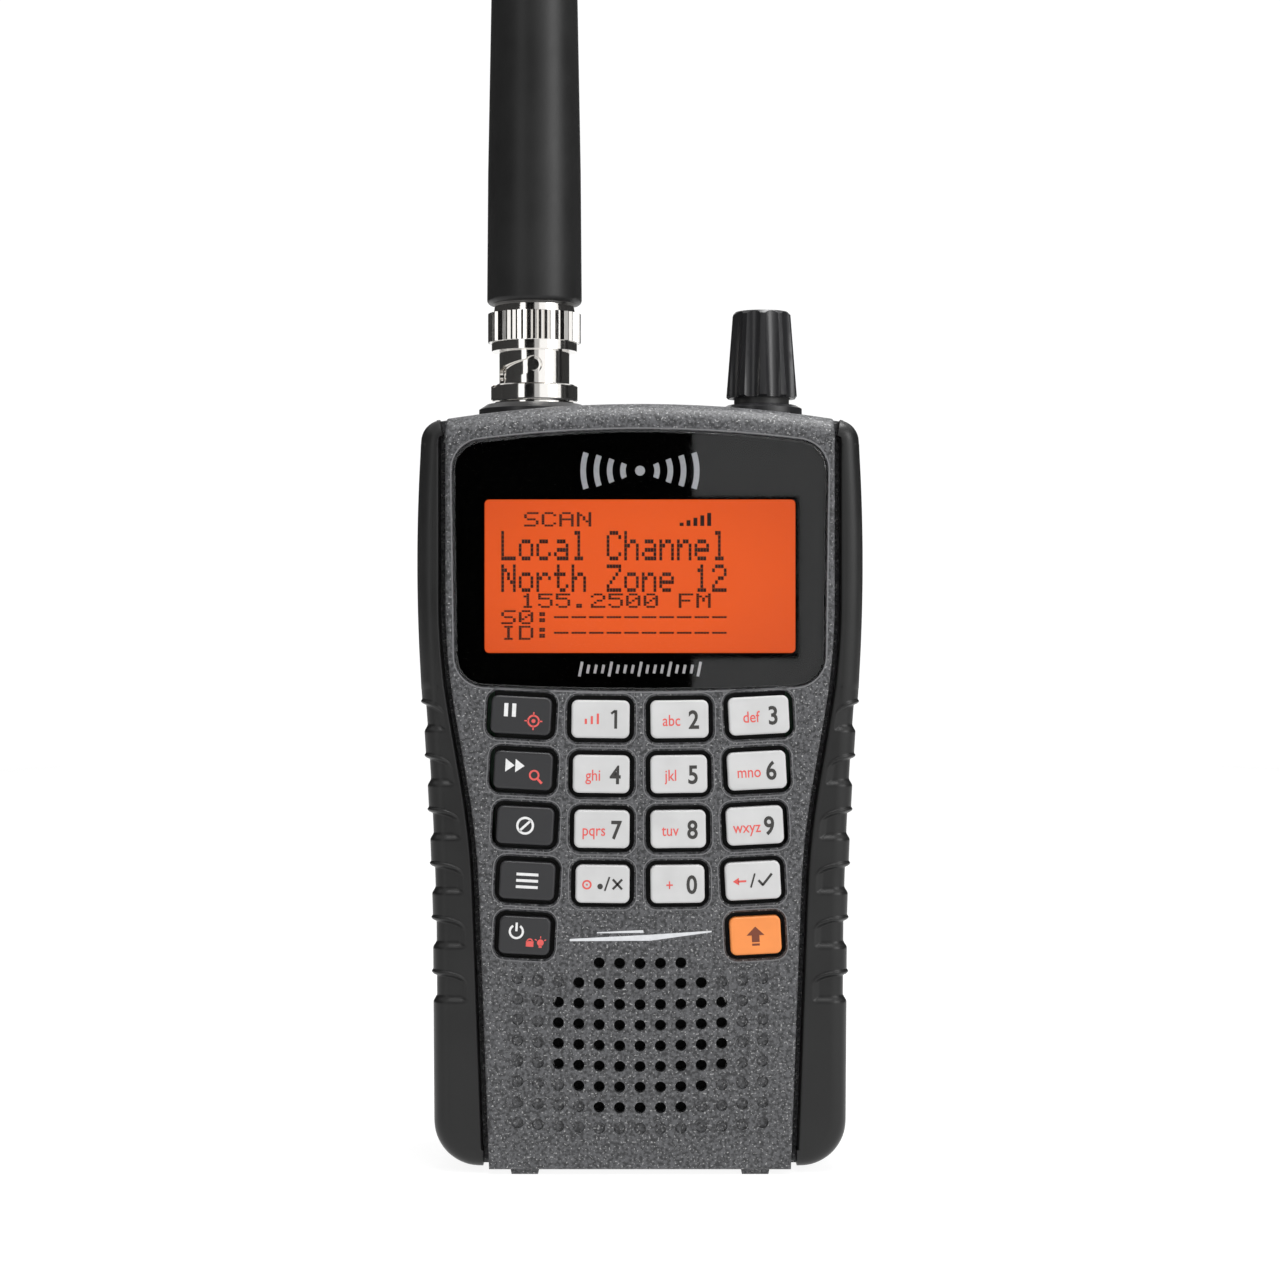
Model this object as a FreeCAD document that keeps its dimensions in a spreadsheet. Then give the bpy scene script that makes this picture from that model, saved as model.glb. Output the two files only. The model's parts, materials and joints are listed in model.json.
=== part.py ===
import FreeCAD, Part
import math
import operator
import os
import Sketcher
from FreeCAD import Placement, Rotation, Vector

# Handheld scanner receiver.  Millimetres.  X to the right of someone reading the
# display, Y to the back, Z up.  The origin is under the middle of the case, on the
# plane of its feet.

SIZES = {
    # Planes of the case, from the front to the back
    "key_face": -16.0, "front_face": -15.4, "lens_face": -15.3, "grip_front": -14.3,
    "lens_back": -13.8, "mask_front": -13.78, "recess_floor": -13.7, "plate_back": -12.8,
    "cheek_front": -12.3, "split_plane": -9.4, "ledge_back": -7.4, "grip_back": 8.0,
    "cavity_back": 13.8, "rear_face": 16.0,
    # Heights and walls
    "foot_height": 0.8, "case_top": 116.6, "crown_radius": 190.0, "wall": 1.8,
    "grip_gap": 1.0, "front_round": 3.4, "grip_round": 2.6, "rear_round": 2.8,
    "edge_round": 0.5,
    # Front case, half-widths at the named heights
    "waist_foot": 22.8, "waist_low": 24.3, "waist_low_height": 41.8, "waist_bend": 26.0,
    "waist_bend_height": 58.5, "waist_hip": 27.9, "waist_hip_height": 69.5,
    "waist_top": 29.4, "waist_top_height": 86.0, "waist_hollow": 120.0,
    "waist_swell": 100.0,
    # Side grips, half-widths of their outside
    "side_foot": 24.3, "side_corner": 7.0, "side_low": 31.5, "side_low_height": 38.0,
    "side_hip": 33.3, "side_hip_height": 74.0, "side_hollow": 660.0, "side_swell": 285.0,
    "shoulder_round": 3.4, "grip_inner": 18.4,
    "notch_tall": 4.4, "notch_pitch": 8.2, "notch_first": 68.9, "notch_deep": 0.5,
    # Cheeks of the rear case, under the grips
    "cheek_foot": 23.8, "cheek_step": 2.4, "cheek_low": 28.9, "cheek_corner": 5.0,
    "cheek_straight": 42.0, "cheek_top": 30.9,
    # Display
    "lens_half": 28.4, "lens_half_low": 28.0, "lens_corner": 4.7, "lens_crown": 112.5,
    "lens_bottom": 73.6, "lens_sag_radius": 450.0, "lens_gap": 0.15, "screen_height": 90.35,
    "window_wide": 47.0, "window_tall": 23.2, "window_corner": 0.7,
    "panel_wide": 48.4, "panel_tall": 25.6, "panel_front": -13.6, "panel_back": -11.8,
    "panel_gap": 0.2, "guide_back": -10.05,
    # Keys
    "key_row": 68.7, "key_pitch": 8.28, "key_arch": 500.0, "key_outer": 17.9,
    "key_outer_step": 0.3, "key_inner": 5.95, "key_inner_step": 0.1, "key_outer_wide": 9.1,
    "key_outer_narrows": 0.25, "key_inner_wide": 8.75, "key_inner_narrows": 0.2,
    "key_tall": 5.7, "key_last_wide": 7.7, "key_last_out": 17.4, "key_corner": 0.95,
    "key_outer_tilt": 3.0, "key_inner_tilt": 0.7, "key_edge": 0.35, "key_gap": 0.7,
    "well_edge": 0.3, "key_step": 1.2, "key_step_face": -13.7, "key_back": -11.2,
    "mat_back": -12.0, "mat_half": 22.0, "mat_low": 32.4, "mat_high": 74.6,
    "mat_gap": 0.3, "dome_radius": 2.0, "dome_thick": 0.25,
    # Speaker and grille
    "grille_pitch": 3.08, "grille_row": 31.9, "grille_row_pitch": 3.11,
    "grille_arch": 380.0, "grille_hole": 0.85, "grille_dimple": 0.9, "dimple_deep": 0.5,
    "speaker_height": 21.0, "speaker_radius": 14.0, "cloth_thick": 0.2,
    "basket_back": -9.0, "magnet_radius": 7.0, "magnet_back": -6.6, "cone_front": -12.1,
    "cone_back": -10.2,
    # Boards
    "front_board_face": -10.0, "front_board_back": -8.8, "front_board_low": 31.0,
    "front_board_high": 105.6, "front_board_foot": 20.5, "front_board_bend": 20.9,
    "front_board_hip": 24.0, "front_board_hip_height": 72.0, "main_board_face": -5.0,
    "main_board_back": -3.8, "main_board_half": 23.5, "main_board_low": 36.0,
    "main_board_high": 98.0, "board_hole": 1.1, "board_hole_inset": 2.5, "shield_deep": 3.0,
    "shield_wide": 20.5, "shield_low": 70.0, "shield_tall": 26.0, "shield_inset": 1.5,
    "sheet_thick": 0.3, "plug_half": 10.0, "board_plug_low": 48.0, "board_plug_high": 52.0,
    # Case screws
    "screw_upper_out": 26.8, "screw_upper_height": 101.0, "screw_lower_out": 20.2,
    "screw_lower_height": 9.0, "screw_radius": 1.3, "screw_head": 2.3, "post_radius": 2.75,
    "post_hole": 1.45, "head_hole": 2.5, "head_seat": 11.0, "head_thick": 2.0,
    "drive_radius": 0.9, "drive_deep": 1.1, "screw_tip": -12.0, "shank_tip": -11.7,
    "screw_gap": 0.05,
    # Battery bay and door
    "bay_half": 15.4, "bay_front": -0.8, "bay_low": 10.5, "bay_high": 67.5,
    "bay_wall": 1.2, "door_half": 16.8, "door_low": 8.5,
    "door_high": 70.5, "door_face": 14.4, "door_gap": 0.2, "tab_out": 10.0,
    "tab_wide": 4.0, "tab_front": 14.0, "tab_low": 7.2, "tab_high": 9.5, "tab_back": 14.8,
    "latch_wide": 6.0, "latch_front": 13.6, "latch_low": 69.2, "latch_gap": 0.4,
    "hook_gap": 0.3, "ridge_first": 66.5, "ridge_pitch": 1.8, "ridge_wide": 14.0,
    "ridge_tall": 0.9, "ridge_deep": 0.4,
    "cell_radius": 7.1, "cell_long": 49.5, "cell_out": 7.4, "cell_middle": 6.7,
    "nub_radius": 2.75, "nub_long": 1.0, "nub_gap": 0.1, "contact_half": 5.0,
    "contact_thick": 0.4, "spring_long": 3.2,
    "spring_radius": 3.6, "spring_wire": 0.35, "spring_gap": 0.2,
    # Belt-clip inserts
    "insert_out": 8.0, "insert_height": 90.0, "insert_radius": 2.1, "insert_bore": 1.25,
    "insert_long": 5.0, "insert_boss": 3.4, "insert_gap": 0.02,
    # Antenna socket, on its own upright axis
    "antenna_out": -16.5, "seat_height": 114.9, "base_radius": 8.65, "base_high": 117.4,
    "base_bore": 4.9, "bush_radius": 4.7, "jack_low": 106.0, "jack_flange": 6.2,
    "jack_flange_high": 117.75, "jack_radius": 4.85, "jack_bore": 4.15, "jack_high": 127.3,
    "jack_floor": 118.5, "insulator_radius": 2.45, "insulator_bore": 1.15,
    "insulator_low": 105.0, "insulator_high": 126.0, "contact_radius": 1.1,
    "contact_bore": 0.7, "contact_low": 103.0, "contact_high": 125.5, "lug_radius": 0.9,
    "lug_reach": 5.35, "lug_height": 123.3, "nut_flat": 6.35, "nut_low": 109.9,
    "nut_high": 112.3, "boss_low": 112.4,
    # Coupling ring of the antenna plug
    "rim_radius": 6.8, "rim_low": 117.9, "rim_high": 120.4, "rim_bore": 5.6, "rim_step": 119.7,
    "sleeve_radius": 5.5, "sleeve_bore": 4.95, "sleeve_high": 125.7, "collar_floor": 126.1,
    "flange_radius": 6.7, "flange_high": 127.1, "knurl_radius": 7.25, "knurl_high": 131.6,
    "knurl_deep": 0.35, "knurl_count": 48.0, "collar_bore": 5.8, "cup_floor": 130.0,
    "cup_radius": 6.85, "slot_radius": 1.15, "slot_turn": 65.0, "slot_drop": 1.4,
    "detent_radius": 1.4, "slot_mouth": 121.0, "rim_bevel": 0.2, "wave_gap": 0.1,
    "wave_thick": 0.3,
    # Antenna
    "plug_tube": 4.05, "plug_tube_bore": 2.65, "plug_low": 119.5, "plug_disc": 5.5,
    "plug_disc_low": 128.0, "neck_low": 131.65, "neck_radius": 6.4, "sheath_low": 133.0,
    "neck_top_radius": 6.2, "shank_radius": 4.0, "shank_high": 145.0, "pin_radius": 0.65,
    "pin_low": 121.5, "core_radius": 2.0, "core_low": 146.0, "core_high": 276.0,
    "sheath_radius": 7.4, "sheath_lip": 0.8, "sheath_mid": 153.7, "sheath_mid_radius": 7.25,
    "sheath_tip_radius": 4.9, "sheath_shoulder": 280.0, "sheath_dome": 6.2,
    "core_gap": 0.05,
    # Rotary knob, on its own upright axis
    "knob_out": 19.0, "ring_radius": 6.3, "ring_high": 117.3, "ring_bore": 4.45,
    "switch_half": 6.2, "switch_low": 104.5, "switch_high": 110.5, "switch_bush": 4.3,
    "switch_bush_high": 118.6, "switch_bore": 3.08, "rotor_radius": 4.8, "rotor_low": 105.6,
    "rotor_high": 109.4, "rotor_bore": 3.03, "rotor_room": 0.3, "spindle_radius": 3.0,
    "spindle_low": 105.9, "spindle_high": 130.0, "knob_low": 118.4, "knob_high": 131.9,
    "knob_foot": 5.6, "knob_top": 4.6, "knob_recess": 4.5, "knob_recess_high": 120.5,
    "flute_radius": 2.4, "flute_centre": 6.6, "flute_taper": 3.2, "flute_count": 10.0,
    # Sockets in the top
    "phone_out": -2.5, "phone_radius": 3.0, "phone_bore": 1.8, "phone_low": 102.5,
    "phone_high": 115.9, "usb_out": 6.2, "usb_wide": 7.7, "usb_deep": 3.9,
    "usb_wall": 0.4, "usb_low": 106.0, "usb_high": 116.0, "socket_back": 3.0,
    "socket_gap": 0.05,
    # Feet
    "foot_out": 17.4, "foot_wide": 4.7, "foot_taper": 0.35, "foot_deep": 4.0,
    "front_foot_face": -14.5, "rear_foot_face": 6.5,
}

doc = FreeCAD.newDocument("Scanner")
sheet = doc.addObject("Spreadsheet::Sheet", "Sizes")
for line, (alias, number) in enumerate(SIZES.items(), start=1):
    sheet.set(f"A{line}", alias)
    sheet.set(f"B{line}", repr(number))
    sheet.setAlias(f"B{line}", alias)
doc.recompute()


# --- numbers that carry their sheet expression --------------------------------

OPERATIONS = {"+": operator.add, "-": operator.sub, "*": operator.mul, "/": operator.truediv}


class Size:
    """A number together with the expression over the sheet that gives it."""

    def __init__(self, value, text):
        self.value = float(value)
        self.text = text

    def __add__(self, other):
        return joined(self, "+", other)

    def __radd__(self, other):
        return joined(other, "+", self)

    def __sub__(self, other):
        return joined(self, "-", other)

    def __rsub__(self, other):
        return joined(other, "-", self)

    def __mul__(self, other):
        return joined(self, "*", other)

    def __rmul__(self, other):
        return joined(other, "*", self)

    def __truediv__(self, other):
        return joined(self, "/", other)

    def __neg__(self):
        return joined(0, "-", self)


def sized(number):
    """Any number as a Size."""
    if isinstance(number, Size):
        return number
    return Size(number, f"({float(number):.9g})")


def joined(left, sign, right):
    first = sized(left)
    second = sized(right)
    value = OPERATIONS[sign](first.value, second.value)
    return Size(value, f"({first.text} {sign} {second.text})")


def root(size):
    return Size(math.sqrt(size.value), f"sqrt({size.text})")


def cosine(size):
    return Size(math.cos(math.radians(size.value)), f"cos({size.text})")


def sine(size):
    return Size(math.sin(math.radians(size.value)), f"sin({size.text})")


class Sheet:
    """Reads a cell of the sheet by its alias."""

    def __getattr__(self, alias):
        return Size(sheet.get(alias), f"Sizes.{alias}")


d = Sheet()


def bind(thing, path, size):
    thing.setExpression(path, sized(size).text)


# --- outlines ---------------------------------------------------------------------
# An outline is a list of corners, anticlockwise.  Each is (across, up, radius): the
# radius of the arc to the next corner, positive where it swells outwards, negative
# where it is hollow, and None where the edge is straight.


def mirrored(right, closing=None):
    """Both halves of an outline, from its right half, listed upwards."""
    left = []
    radii = [corner[2] for corner in right[:-1]]
    for place, (across, up, _) in enumerate(reversed(right)):
        following = radii[len(radii) - 1 - place] if place < len(radii) else closing
        left.append((-across, up, following))
    return right + left


def rectangle(low_x, low_z, high_x, high_z):
    return [(low_x, low_z, None), (high_x, low_z, None), (high_x, high_z, None), (low_x, high_z, None)]


def rounded(centre_x, centre_z, wide, tall, corner, tilt):
    """A rectangle with round corners, turned anticlockwise by tilt degrees."""
    inner_x = wide / 2 - corner
    inner_z = tall / 2 - corner
    flat = [(inner_x, -(tall / 2), corner), (wide / 2, -inner_z, None),
            (wide / 2, inner_z, corner), (inner_x, tall / 2, None),
            (-inner_x, tall / 2, corner), (-(wide / 2), inner_z, None),
            (-(wide / 2), -inner_z, corner), (-inner_x, -(tall / 2), None)]
    turn_cos = cosine(sized(tilt))
    turn_sin = sine(sized(tilt))
    return [(centre_x + x * turn_cos - z * turn_sin, centre_z + x * turn_sin + z * turn_cos, radius)
            for x, z, radius in flat]


def edge_between(start, end, radius):
    """The line or arc from one corner to the next, and whether it is stored reversed."""
    if radius is None:
        return Part.LineSegment(start, end), False
    chord = end - start
    bow = radius.value
    rise = math.sqrt(max(bow * bow - chord.Length ** 2 / 4, 0))
    left = Vector(-chord.y, chord.x, 0).normalize()
    side = 1 if bow > 0 else -1
    centre = (start + end) / 2 + left * rise * side
    first, last = (start, end) if bow > 0 else (end, start)
    turn_start = math.atan2(first.y - centre.y, first.x - centre.x)
    turn_end = math.atan2(last.y - centre.y, last.x - centre.x)
    circle = Part.Circle(centre, Vector(0, 0, 1), abs(bow))
    return Part.ArcOfCircle(circle, turn_start, turn_end), bow < 0


def draw(sketch, *outlines):
    """Draw closed outlines, with every corner and radius bound to the sheet."""
    rules = []
    bound = []
    for outline in outlines:
        base = sketch.GeometryCount
        corners = [(sized(x), sized(z), None if r is None else sized(r)) for x, z, r in outline]
        spots = [Vector(x.value, z.value, 0) for x, z, _ in corners]
        count = len(corners)
        ends = []
        edges = []
        for place in range(count):
            edge, swapped = edge_between(spots[place], spots[(place + 1) % count], corners[place][2])
            edges.append(edge)
            ends.append((2, 1) if swapped else (1, 2))
        sketch.addGeometry(edges, False)
        for place, (x, z, radius) in enumerate(corners):
            start, end = ends[place]
            following = (place + 1) % count
            rules.append(Sketcher.Constraint("Coincident", base + place, end,
                                             base + following, ends[following][0]))
            for kind, size in (("DistanceX", x), ("DistanceY", z)):
                bound.append((len(rules), size))
                rules.append(Sketcher.Constraint(kind, -1, 1, base + place, start, size.value))
            if radius is not None:
                reach = radius if radius.value > 0 else -radius
                bound.append((len(rules), reach))
                rules.append(Sketcher.Constraint("Radius", base + place, reach.value))
    constrain(sketch, rules, bound)


def draw_circles(sketch, circles):
    """Draw circles given as (across, up, radius)."""
    rules = []
    bound = []
    rounds = []
    for place, circle in enumerate(circles):
        x, z, radius = (sized(number) for number in circle)
        rounds.append(Part.Circle(Vector(x.value, z.value, 0), Vector(0, 0, 1), radius.value))
        for kind, size in (("DistanceX", x), ("DistanceY", z)):
            bound.append((len(rules), size))
            rules.append(Sketcher.Constraint(kind, -1, 1, place, 3, size.value))
        bound.append((len(rules), radius))
        rules.append(Sketcher.Constraint("Radius", place, radius.value))
    sketch.addGeometry(rounds, False)
    constrain(sketch, rules, bound)


def constrain(sketch, rules, bound):
    first = sketch.ConstraintCount
    sketch.addConstraint(rules)
    for place, size in bound:
        sketch.setExpression(f"Constraints[{first + place}]", size.text)


# --- features -------------------------------------------------------------------


def new_body(name, across=0, back=0):
    body = doc.addObject("PartDesign::Body", name)
    bind(body, ".Placement.Base.x", across)
    bind(body, ".Placement.Base.y", back)
    return body


def new_sketch(body, name, plane, offset):
    """A sketch on an origin plane of its body, moved along that plane's normal."""
    sketch = body.newObject("Sketcher::SketchObject", name)
    origin_plane = next(item for item in body.Origin.OriginFeatures if item.Role == plane)
    sketch.AttachmentSupport = [(origin_plane, "")]
    sketch.MapMode = "FlatFace"
    bind(sketch, ".AttachmentOffset.Base.z", offset)
    return sketch


def apply_profile(body, kind, name, sketch, length):
    """Pad or pocket a sketch, and check that the body's volume changes."""
    doc.recompute()
    before = body.Shape.Volume if body.Tip else 0
    feature = body.newObject("PartDesign::" + kind, name)
    feature.Profile = sketch
    feature.Refine = kind == "Pad"
    bind(feature, "Length", length)
    doc.recompute()
    change = body.Shape.Volume - before
    if (change > 0) != (kind == "Pad") or abs(change) < 1e-3:
        raise RuntimeError(f"{body.Label}: {name} changes the volume by {change}")
    return feature


def add_slab(body, name, front, back, *outlines):
    """Add outlines seen from the front, as thick as the space from front to back."""
    sketch = new_sketch(body, name + "_sketch", "XZ_Plane", -sized(back))
    draw(sketch, *outlines)
    return apply_profile(body, "Pad", name, sketch, back - front)


def cut_slab(body, name, front, back, *outlines):
    sketch = new_sketch(body, name + "_sketch", "XZ_Plane", -sized(front))
    draw(sketch, *outlines)
    return apply_profile(body, "Pocket", name, sketch, back - front)


def add_pegs(body, name, front, back, circles):
    sketch = new_sketch(body, name + "_sketch", "XZ_Plane", -sized(back))
    draw_circles(sketch, circles)
    return apply_profile(body, "Pad", name, sketch, back - front)


def cut_pegs(body, name, front, back, circles):
    sketch = new_sketch(body, name + "_sketch", "XZ_Plane", -sized(front))
    draw_circles(sketch, circles)
    return apply_profile(body, "Pocket", name, sketch, back - front)


def add_upright(body, name, low, high, circles):
    sketch = new_sketch(body, name + "_sketch", "XY_Plane", low)
    draw_circles(sketch, circles)
    return apply_profile(body, "Pad", name, sketch, high - low)


def cut_upright(body, name, low, high, circles=(), outlines=()):
    sketch = new_sketch(body, name + "_sketch", "XY_Plane", high)
    if circles:
        draw_circles(sketch, circles)
    if outlines:
        draw(sketch, *outlines)
    return apply_profile(body, "Pocket", name, sketch, high - low)


def dress(body, kind, name, radius, wanted):
    """Round or bevel the edges of the body that wanted(edge) picks."""
    doc.recompute()
    base = body.Tip
    names = [f"Edge{place}" for place, edge in enumerate(base.Shape.Edges, start=1) if wanted(edge)]
    before = base.Shape.Volume
    feature = body.newObject("PartDesign::" + kind, name)
    feature.Base = (base, names)
    bind(feature, "Radius" if kind == "Fillet" else "Size", radius)
    doc.recompute()
    if not names or not feature.isValid() or abs(feature.Shape.Volume - before) < 1e-4:
        raise RuntimeError(f"{body.Label}: {name} did nothing on {len(names)} edges")
    return feature


def lies_at(edge, depth):
    """Whether an edge lies wholly in the plane at this depth."""
    box = edge.BoundBox
    return abs(box.YMin - depth.value) < 1e-4 and abs(box.YMax - depth.value) < 1e-4


def turned(name, across, profile, back=0):
    """A body of revolution about an upright axis, from its right-hand profile."""
    body = new_body(name, across, back)
    sketch = new_sketch(body, name + "_profile", "XZ_Plane", 0)
    draw(sketch, [(corner[0], corner[1], corner[2] if len(corner) > 2 else None) for corner in profile])
    feature = body.newObject("PartDesign::Revolution", name + "_turned")
    feature.Profile = sketch
    feature.ReferenceAxis = (sketch, ["V_Axis"])
    feature.Angle = 360
    doc.recompute()
    return body


def tube(name, across, inner, outer, low, high, back=0):
    """A plain ring or tube about an upright axis."""
    profile = [(inner, low), (outer, low), (outer, high), (inner, high)]
    return turned(name, across, profile, back)


# --- primitives -------------------------------------------------------------------


def box(name, low, high):
    """A box between two corners."""
    piece = doc.addObject("Part::Box", name)
    for axis, path, start, end in zip("xyz", ("Length", "Width", "Height"), low, high):
        bind(piece, path, end - start)
        bind(piece, f".Placement.Base.{axis}", start)
    return piece


def disc(name, centre, radius, front, back):
    """A round piece lying along Y, about centre = (across, up)."""
    piece = doc.addObject("Part::Cylinder", name)
    bind(piece, "Radius", radius)
    bind(piece, "Height", back - front)
    piece.Placement = Placement(Vector(), Rotation(Vector(1, 0, 0), -90))
    for axis, size in zip("xyz", (centre[0], front, centre[1])):
        bind(piece, f".Placement.Base.{axis}", size)
    return piece


def rod(name, centre, radius, low, high):
    """An upright round piece about centre = (across, back)."""
    piece = doc.addObject("Part::Cylinder", name)
    bind(piece, "Radius", radius)
    bind(piece, "Height", high - low)
    for axis, size in zip("xyz", (centre[0], centre[1], low)):
        bind(piece, f".Placement.Base.{axis}", size)
    return piece


def fused(name, *pieces):
    whole = doc.addObject("Part::MultiFuse", name)
    whole.Shapes = list(pieces)
    return whole


def grouped(name, *pieces):
    """Separate solids that share a node."""
    whole = doc.addObject("Part::Compound", name)
    whole.Links = list(pieces)
    return whole


def without(name, base, *tools):
    whole = doc.addObject("Part::Cut", name)
    whole.Base = base
    whole.Tool = tools[0] if len(tools) == 1 else grouped(name + "_tools", *tools)
    return whole


# --- shared positions ---------------------------------------------------------------

SIDES = (("left", -1), ("right", 1))


def crown(x, inset=0):
    """Height of the arched top at a half-width, taken in by inset."""
    reach = d.crown_radius - inset
    return d.case_top - d.crown_radius + root(reach * reach - x * x)


def waist(inset=0):
    """Outline of the front case, taken in by inset."""
    top = d.waist_top - inset
    right = [(d.waist_foot - inset, d.foot_height + inset, None),
             (d.waist_low - inset, d.waist_low_height, -d.waist_hollow),
             (d.waist_bend - inset, d.waist_bend_height, None),
             (d.waist_hip - inset, d.waist_hip_height, d.waist_swell),
             (top, d.waist_top_height, None),
             (top, crown(top, inset), d.crown_radius - inset)]
    return mirrored(right)


def silhouette_half():
    """Right half of the outside of the grips and the rear shell, upwards.

    The shoulder's round touches both the upright side and the crown without a corner.
    """
    corner_high = d.foot_height + d.side_corner
    round_out = d.side_hip - d.shoulder_round
    reach = d.crown_radius - d.shoulder_round
    round_height = d.case_top - d.crown_radius + root(reach * reach - round_out * round_out)
    shoulder_in = d.crown_radius * round_out / reach
    return [(d.side_foot, d.foot_height, d.side_corner),
            (d.side_foot + d.side_corner, corner_high, None),
            (d.side_low, d.side_low_height, -d.side_hollow),
            (d.side_hip, d.side_hip_height, d.side_swell),
            (d.side_hip, round_height, d.shoulder_round),
            (shoulder_in, crown(shoulder_in), d.crown_radius)]


def side_at(height):
    """Half-width of the outside at a height, up to the widest place."""
    span = d.side_hip_height - d.side_low_height
    share = (height - d.side_low_height) / span
    if share.value < 0:
        return d.side_low
    bulge = span * span * share * (1 - share) / (2 * d.side_swell)
    return d.side_low + (d.side_hip - d.side_low) * share + bulge


def cheek_half(inset=0):
    """Right half of the rear case under the grips, upwards."""
    step_high = d.foot_height + d.cheek_step
    top = d.cheek_top - inset
    corner_out = d.cheek_low - inset
    corner_in = d.cheek_foot - inset
    return [(corner_in, d.foot_height + inset, None),
            (corner_in, step_high + inset, None),
            (corner_out, step_high + inset + d.cheek_corner, None),
            (corner_out, d.cheek_straight, None),
            (top, d.waist_top_height, None),
            (top, crown(top, inset), d.crown_radius - inset)]


def lens_outline(inset=0):
    low_in = d.lens_half_low - d.lens_corner
    high_in = d.lens_half - d.lens_corner
    arch = d.crown_radius - inset
    high = d.lens_crown - d.crown_radius + root(arch * arch - high_in * high_in)
    right = [(low_in, d.lens_bottom + inset, d.lens_corner - inset),
             (d.lens_half_low - inset, d.lens_bottom + d.lens_corner, None),
             (d.lens_half - inset, high - d.lens_corner + inset, d.lens_corner - inset),
             (high_in, high, arch)]
    return mirrored(right, d.lens_sag_radius)


def screen_rectangle(wide, tall):
    return rectangle(-(wide / 2), d.screen_height - tall / 2, wide / 2, d.screen_height + tall / 2)


# Keys: name, column from the left, row from the top.
KEYS = [("key_hold", 0, 0), ("key_1", 1, 0), ("key_2", 2, 0), ("key_3", 3, 0),
        ("key_scan", 0, 1), ("key_4", 1, 1), ("key_5", 2, 1), ("key_6", 3, 1),
        ("key_lockout", 0, 2), ("key_7", 1, 2), ("key_8", 2, 2), ("key_9", 3, 2),
        ("key_menu", 0, 3), ("key_dot", 1, 3), ("key_0", 2, 3), ("key_enter", 3, 3),
        ("key_power", 0, 4), ("key_function", 3, 4)]
LAST_ROW = 4


def key_place(column, row):
    """Centre, width and tilt of a key: the rows arch up towards the sides."""
    side = -1 if column < 2 else 1
    outer = column in (0, 3)
    if outer and row == LAST_ROW:
        out = d.key_last_out
        wide = d.key_last_wide
    elif outer:
        out = d.key_outer - d.key_outer_step * row
        wide = d.key_outer_wide - d.key_outer_narrows * row
    else:
        out = d.key_inner - d.key_inner_step * row
        wide = d.key_inner_wide - d.key_inner_narrows * row
    height = d.key_row - d.key_pitch * row + out * out / d.key_arch
    tilt = (d.key_outer_tilt if outer else d.key_inner_tilt) * side
    return out * side, height, wide, tilt


def key_outline(column, row, margin):
    """Outline of a key grown by margin all round."""
    across, up, wide, tilt = key_place(column, row)
    corner = d.key_corner + (margin if sized(margin).value > 0 else 0)
    return rounded(across, up, wide + 2 * margin, d.key_tall + 2 * margin, corner, tilt)


def grille(wanted, radius):
    """Circles of the grille for the columns that wanted(row, column) picks."""
    circles = []
    for row in range(9):
        for column in range(13):
            if not wanted(row, abs(column - 6)):
                continue
            across = d.grille_pitch * (column - 6)
            up = d.grille_row - d.grille_row_pitch * row + across * across / d.grille_arch
            circles.append((across, up, radius))
    return circles


# How far from the middle column each row of the grille is pierced; beyond that it is
# only dimpled.  The first row has no dimples and the last has nothing else.
PIERCED = (2, 3, 4, 4, 4, 4, 3, 2, -1)


def is_pierced(row, off_centre):
    return off_centre <= PIERCED[row]


def is_dimpled(row, off_centre):
    return row > 0 and off_centre > PIERCED[row]


def screw_spots(radius):
    return [(side * out, up, radius) for _, side in SIDES
            for out, up in ((d.screw_upper_out, d.screw_upper_height),
                            (d.screw_lower_out, d.screw_lower_height))]


def foot_outlines():
    """Feet seen from the front, tapering downwards and reaching into the case."""
    half = d.foot_wide / 2
    return [[(side * d.foot_out - half + d.foot_taper, 0, None),
             (side * d.foot_out + half - d.foot_taper, 0, None),
             (side * d.foot_out + half, d.foot_height * 2, None),
             (side * d.foot_out - half, d.foot_height * 2, None)] for _, side in SIDES]


# --- case ---------------------------------------------------------------------------


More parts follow.
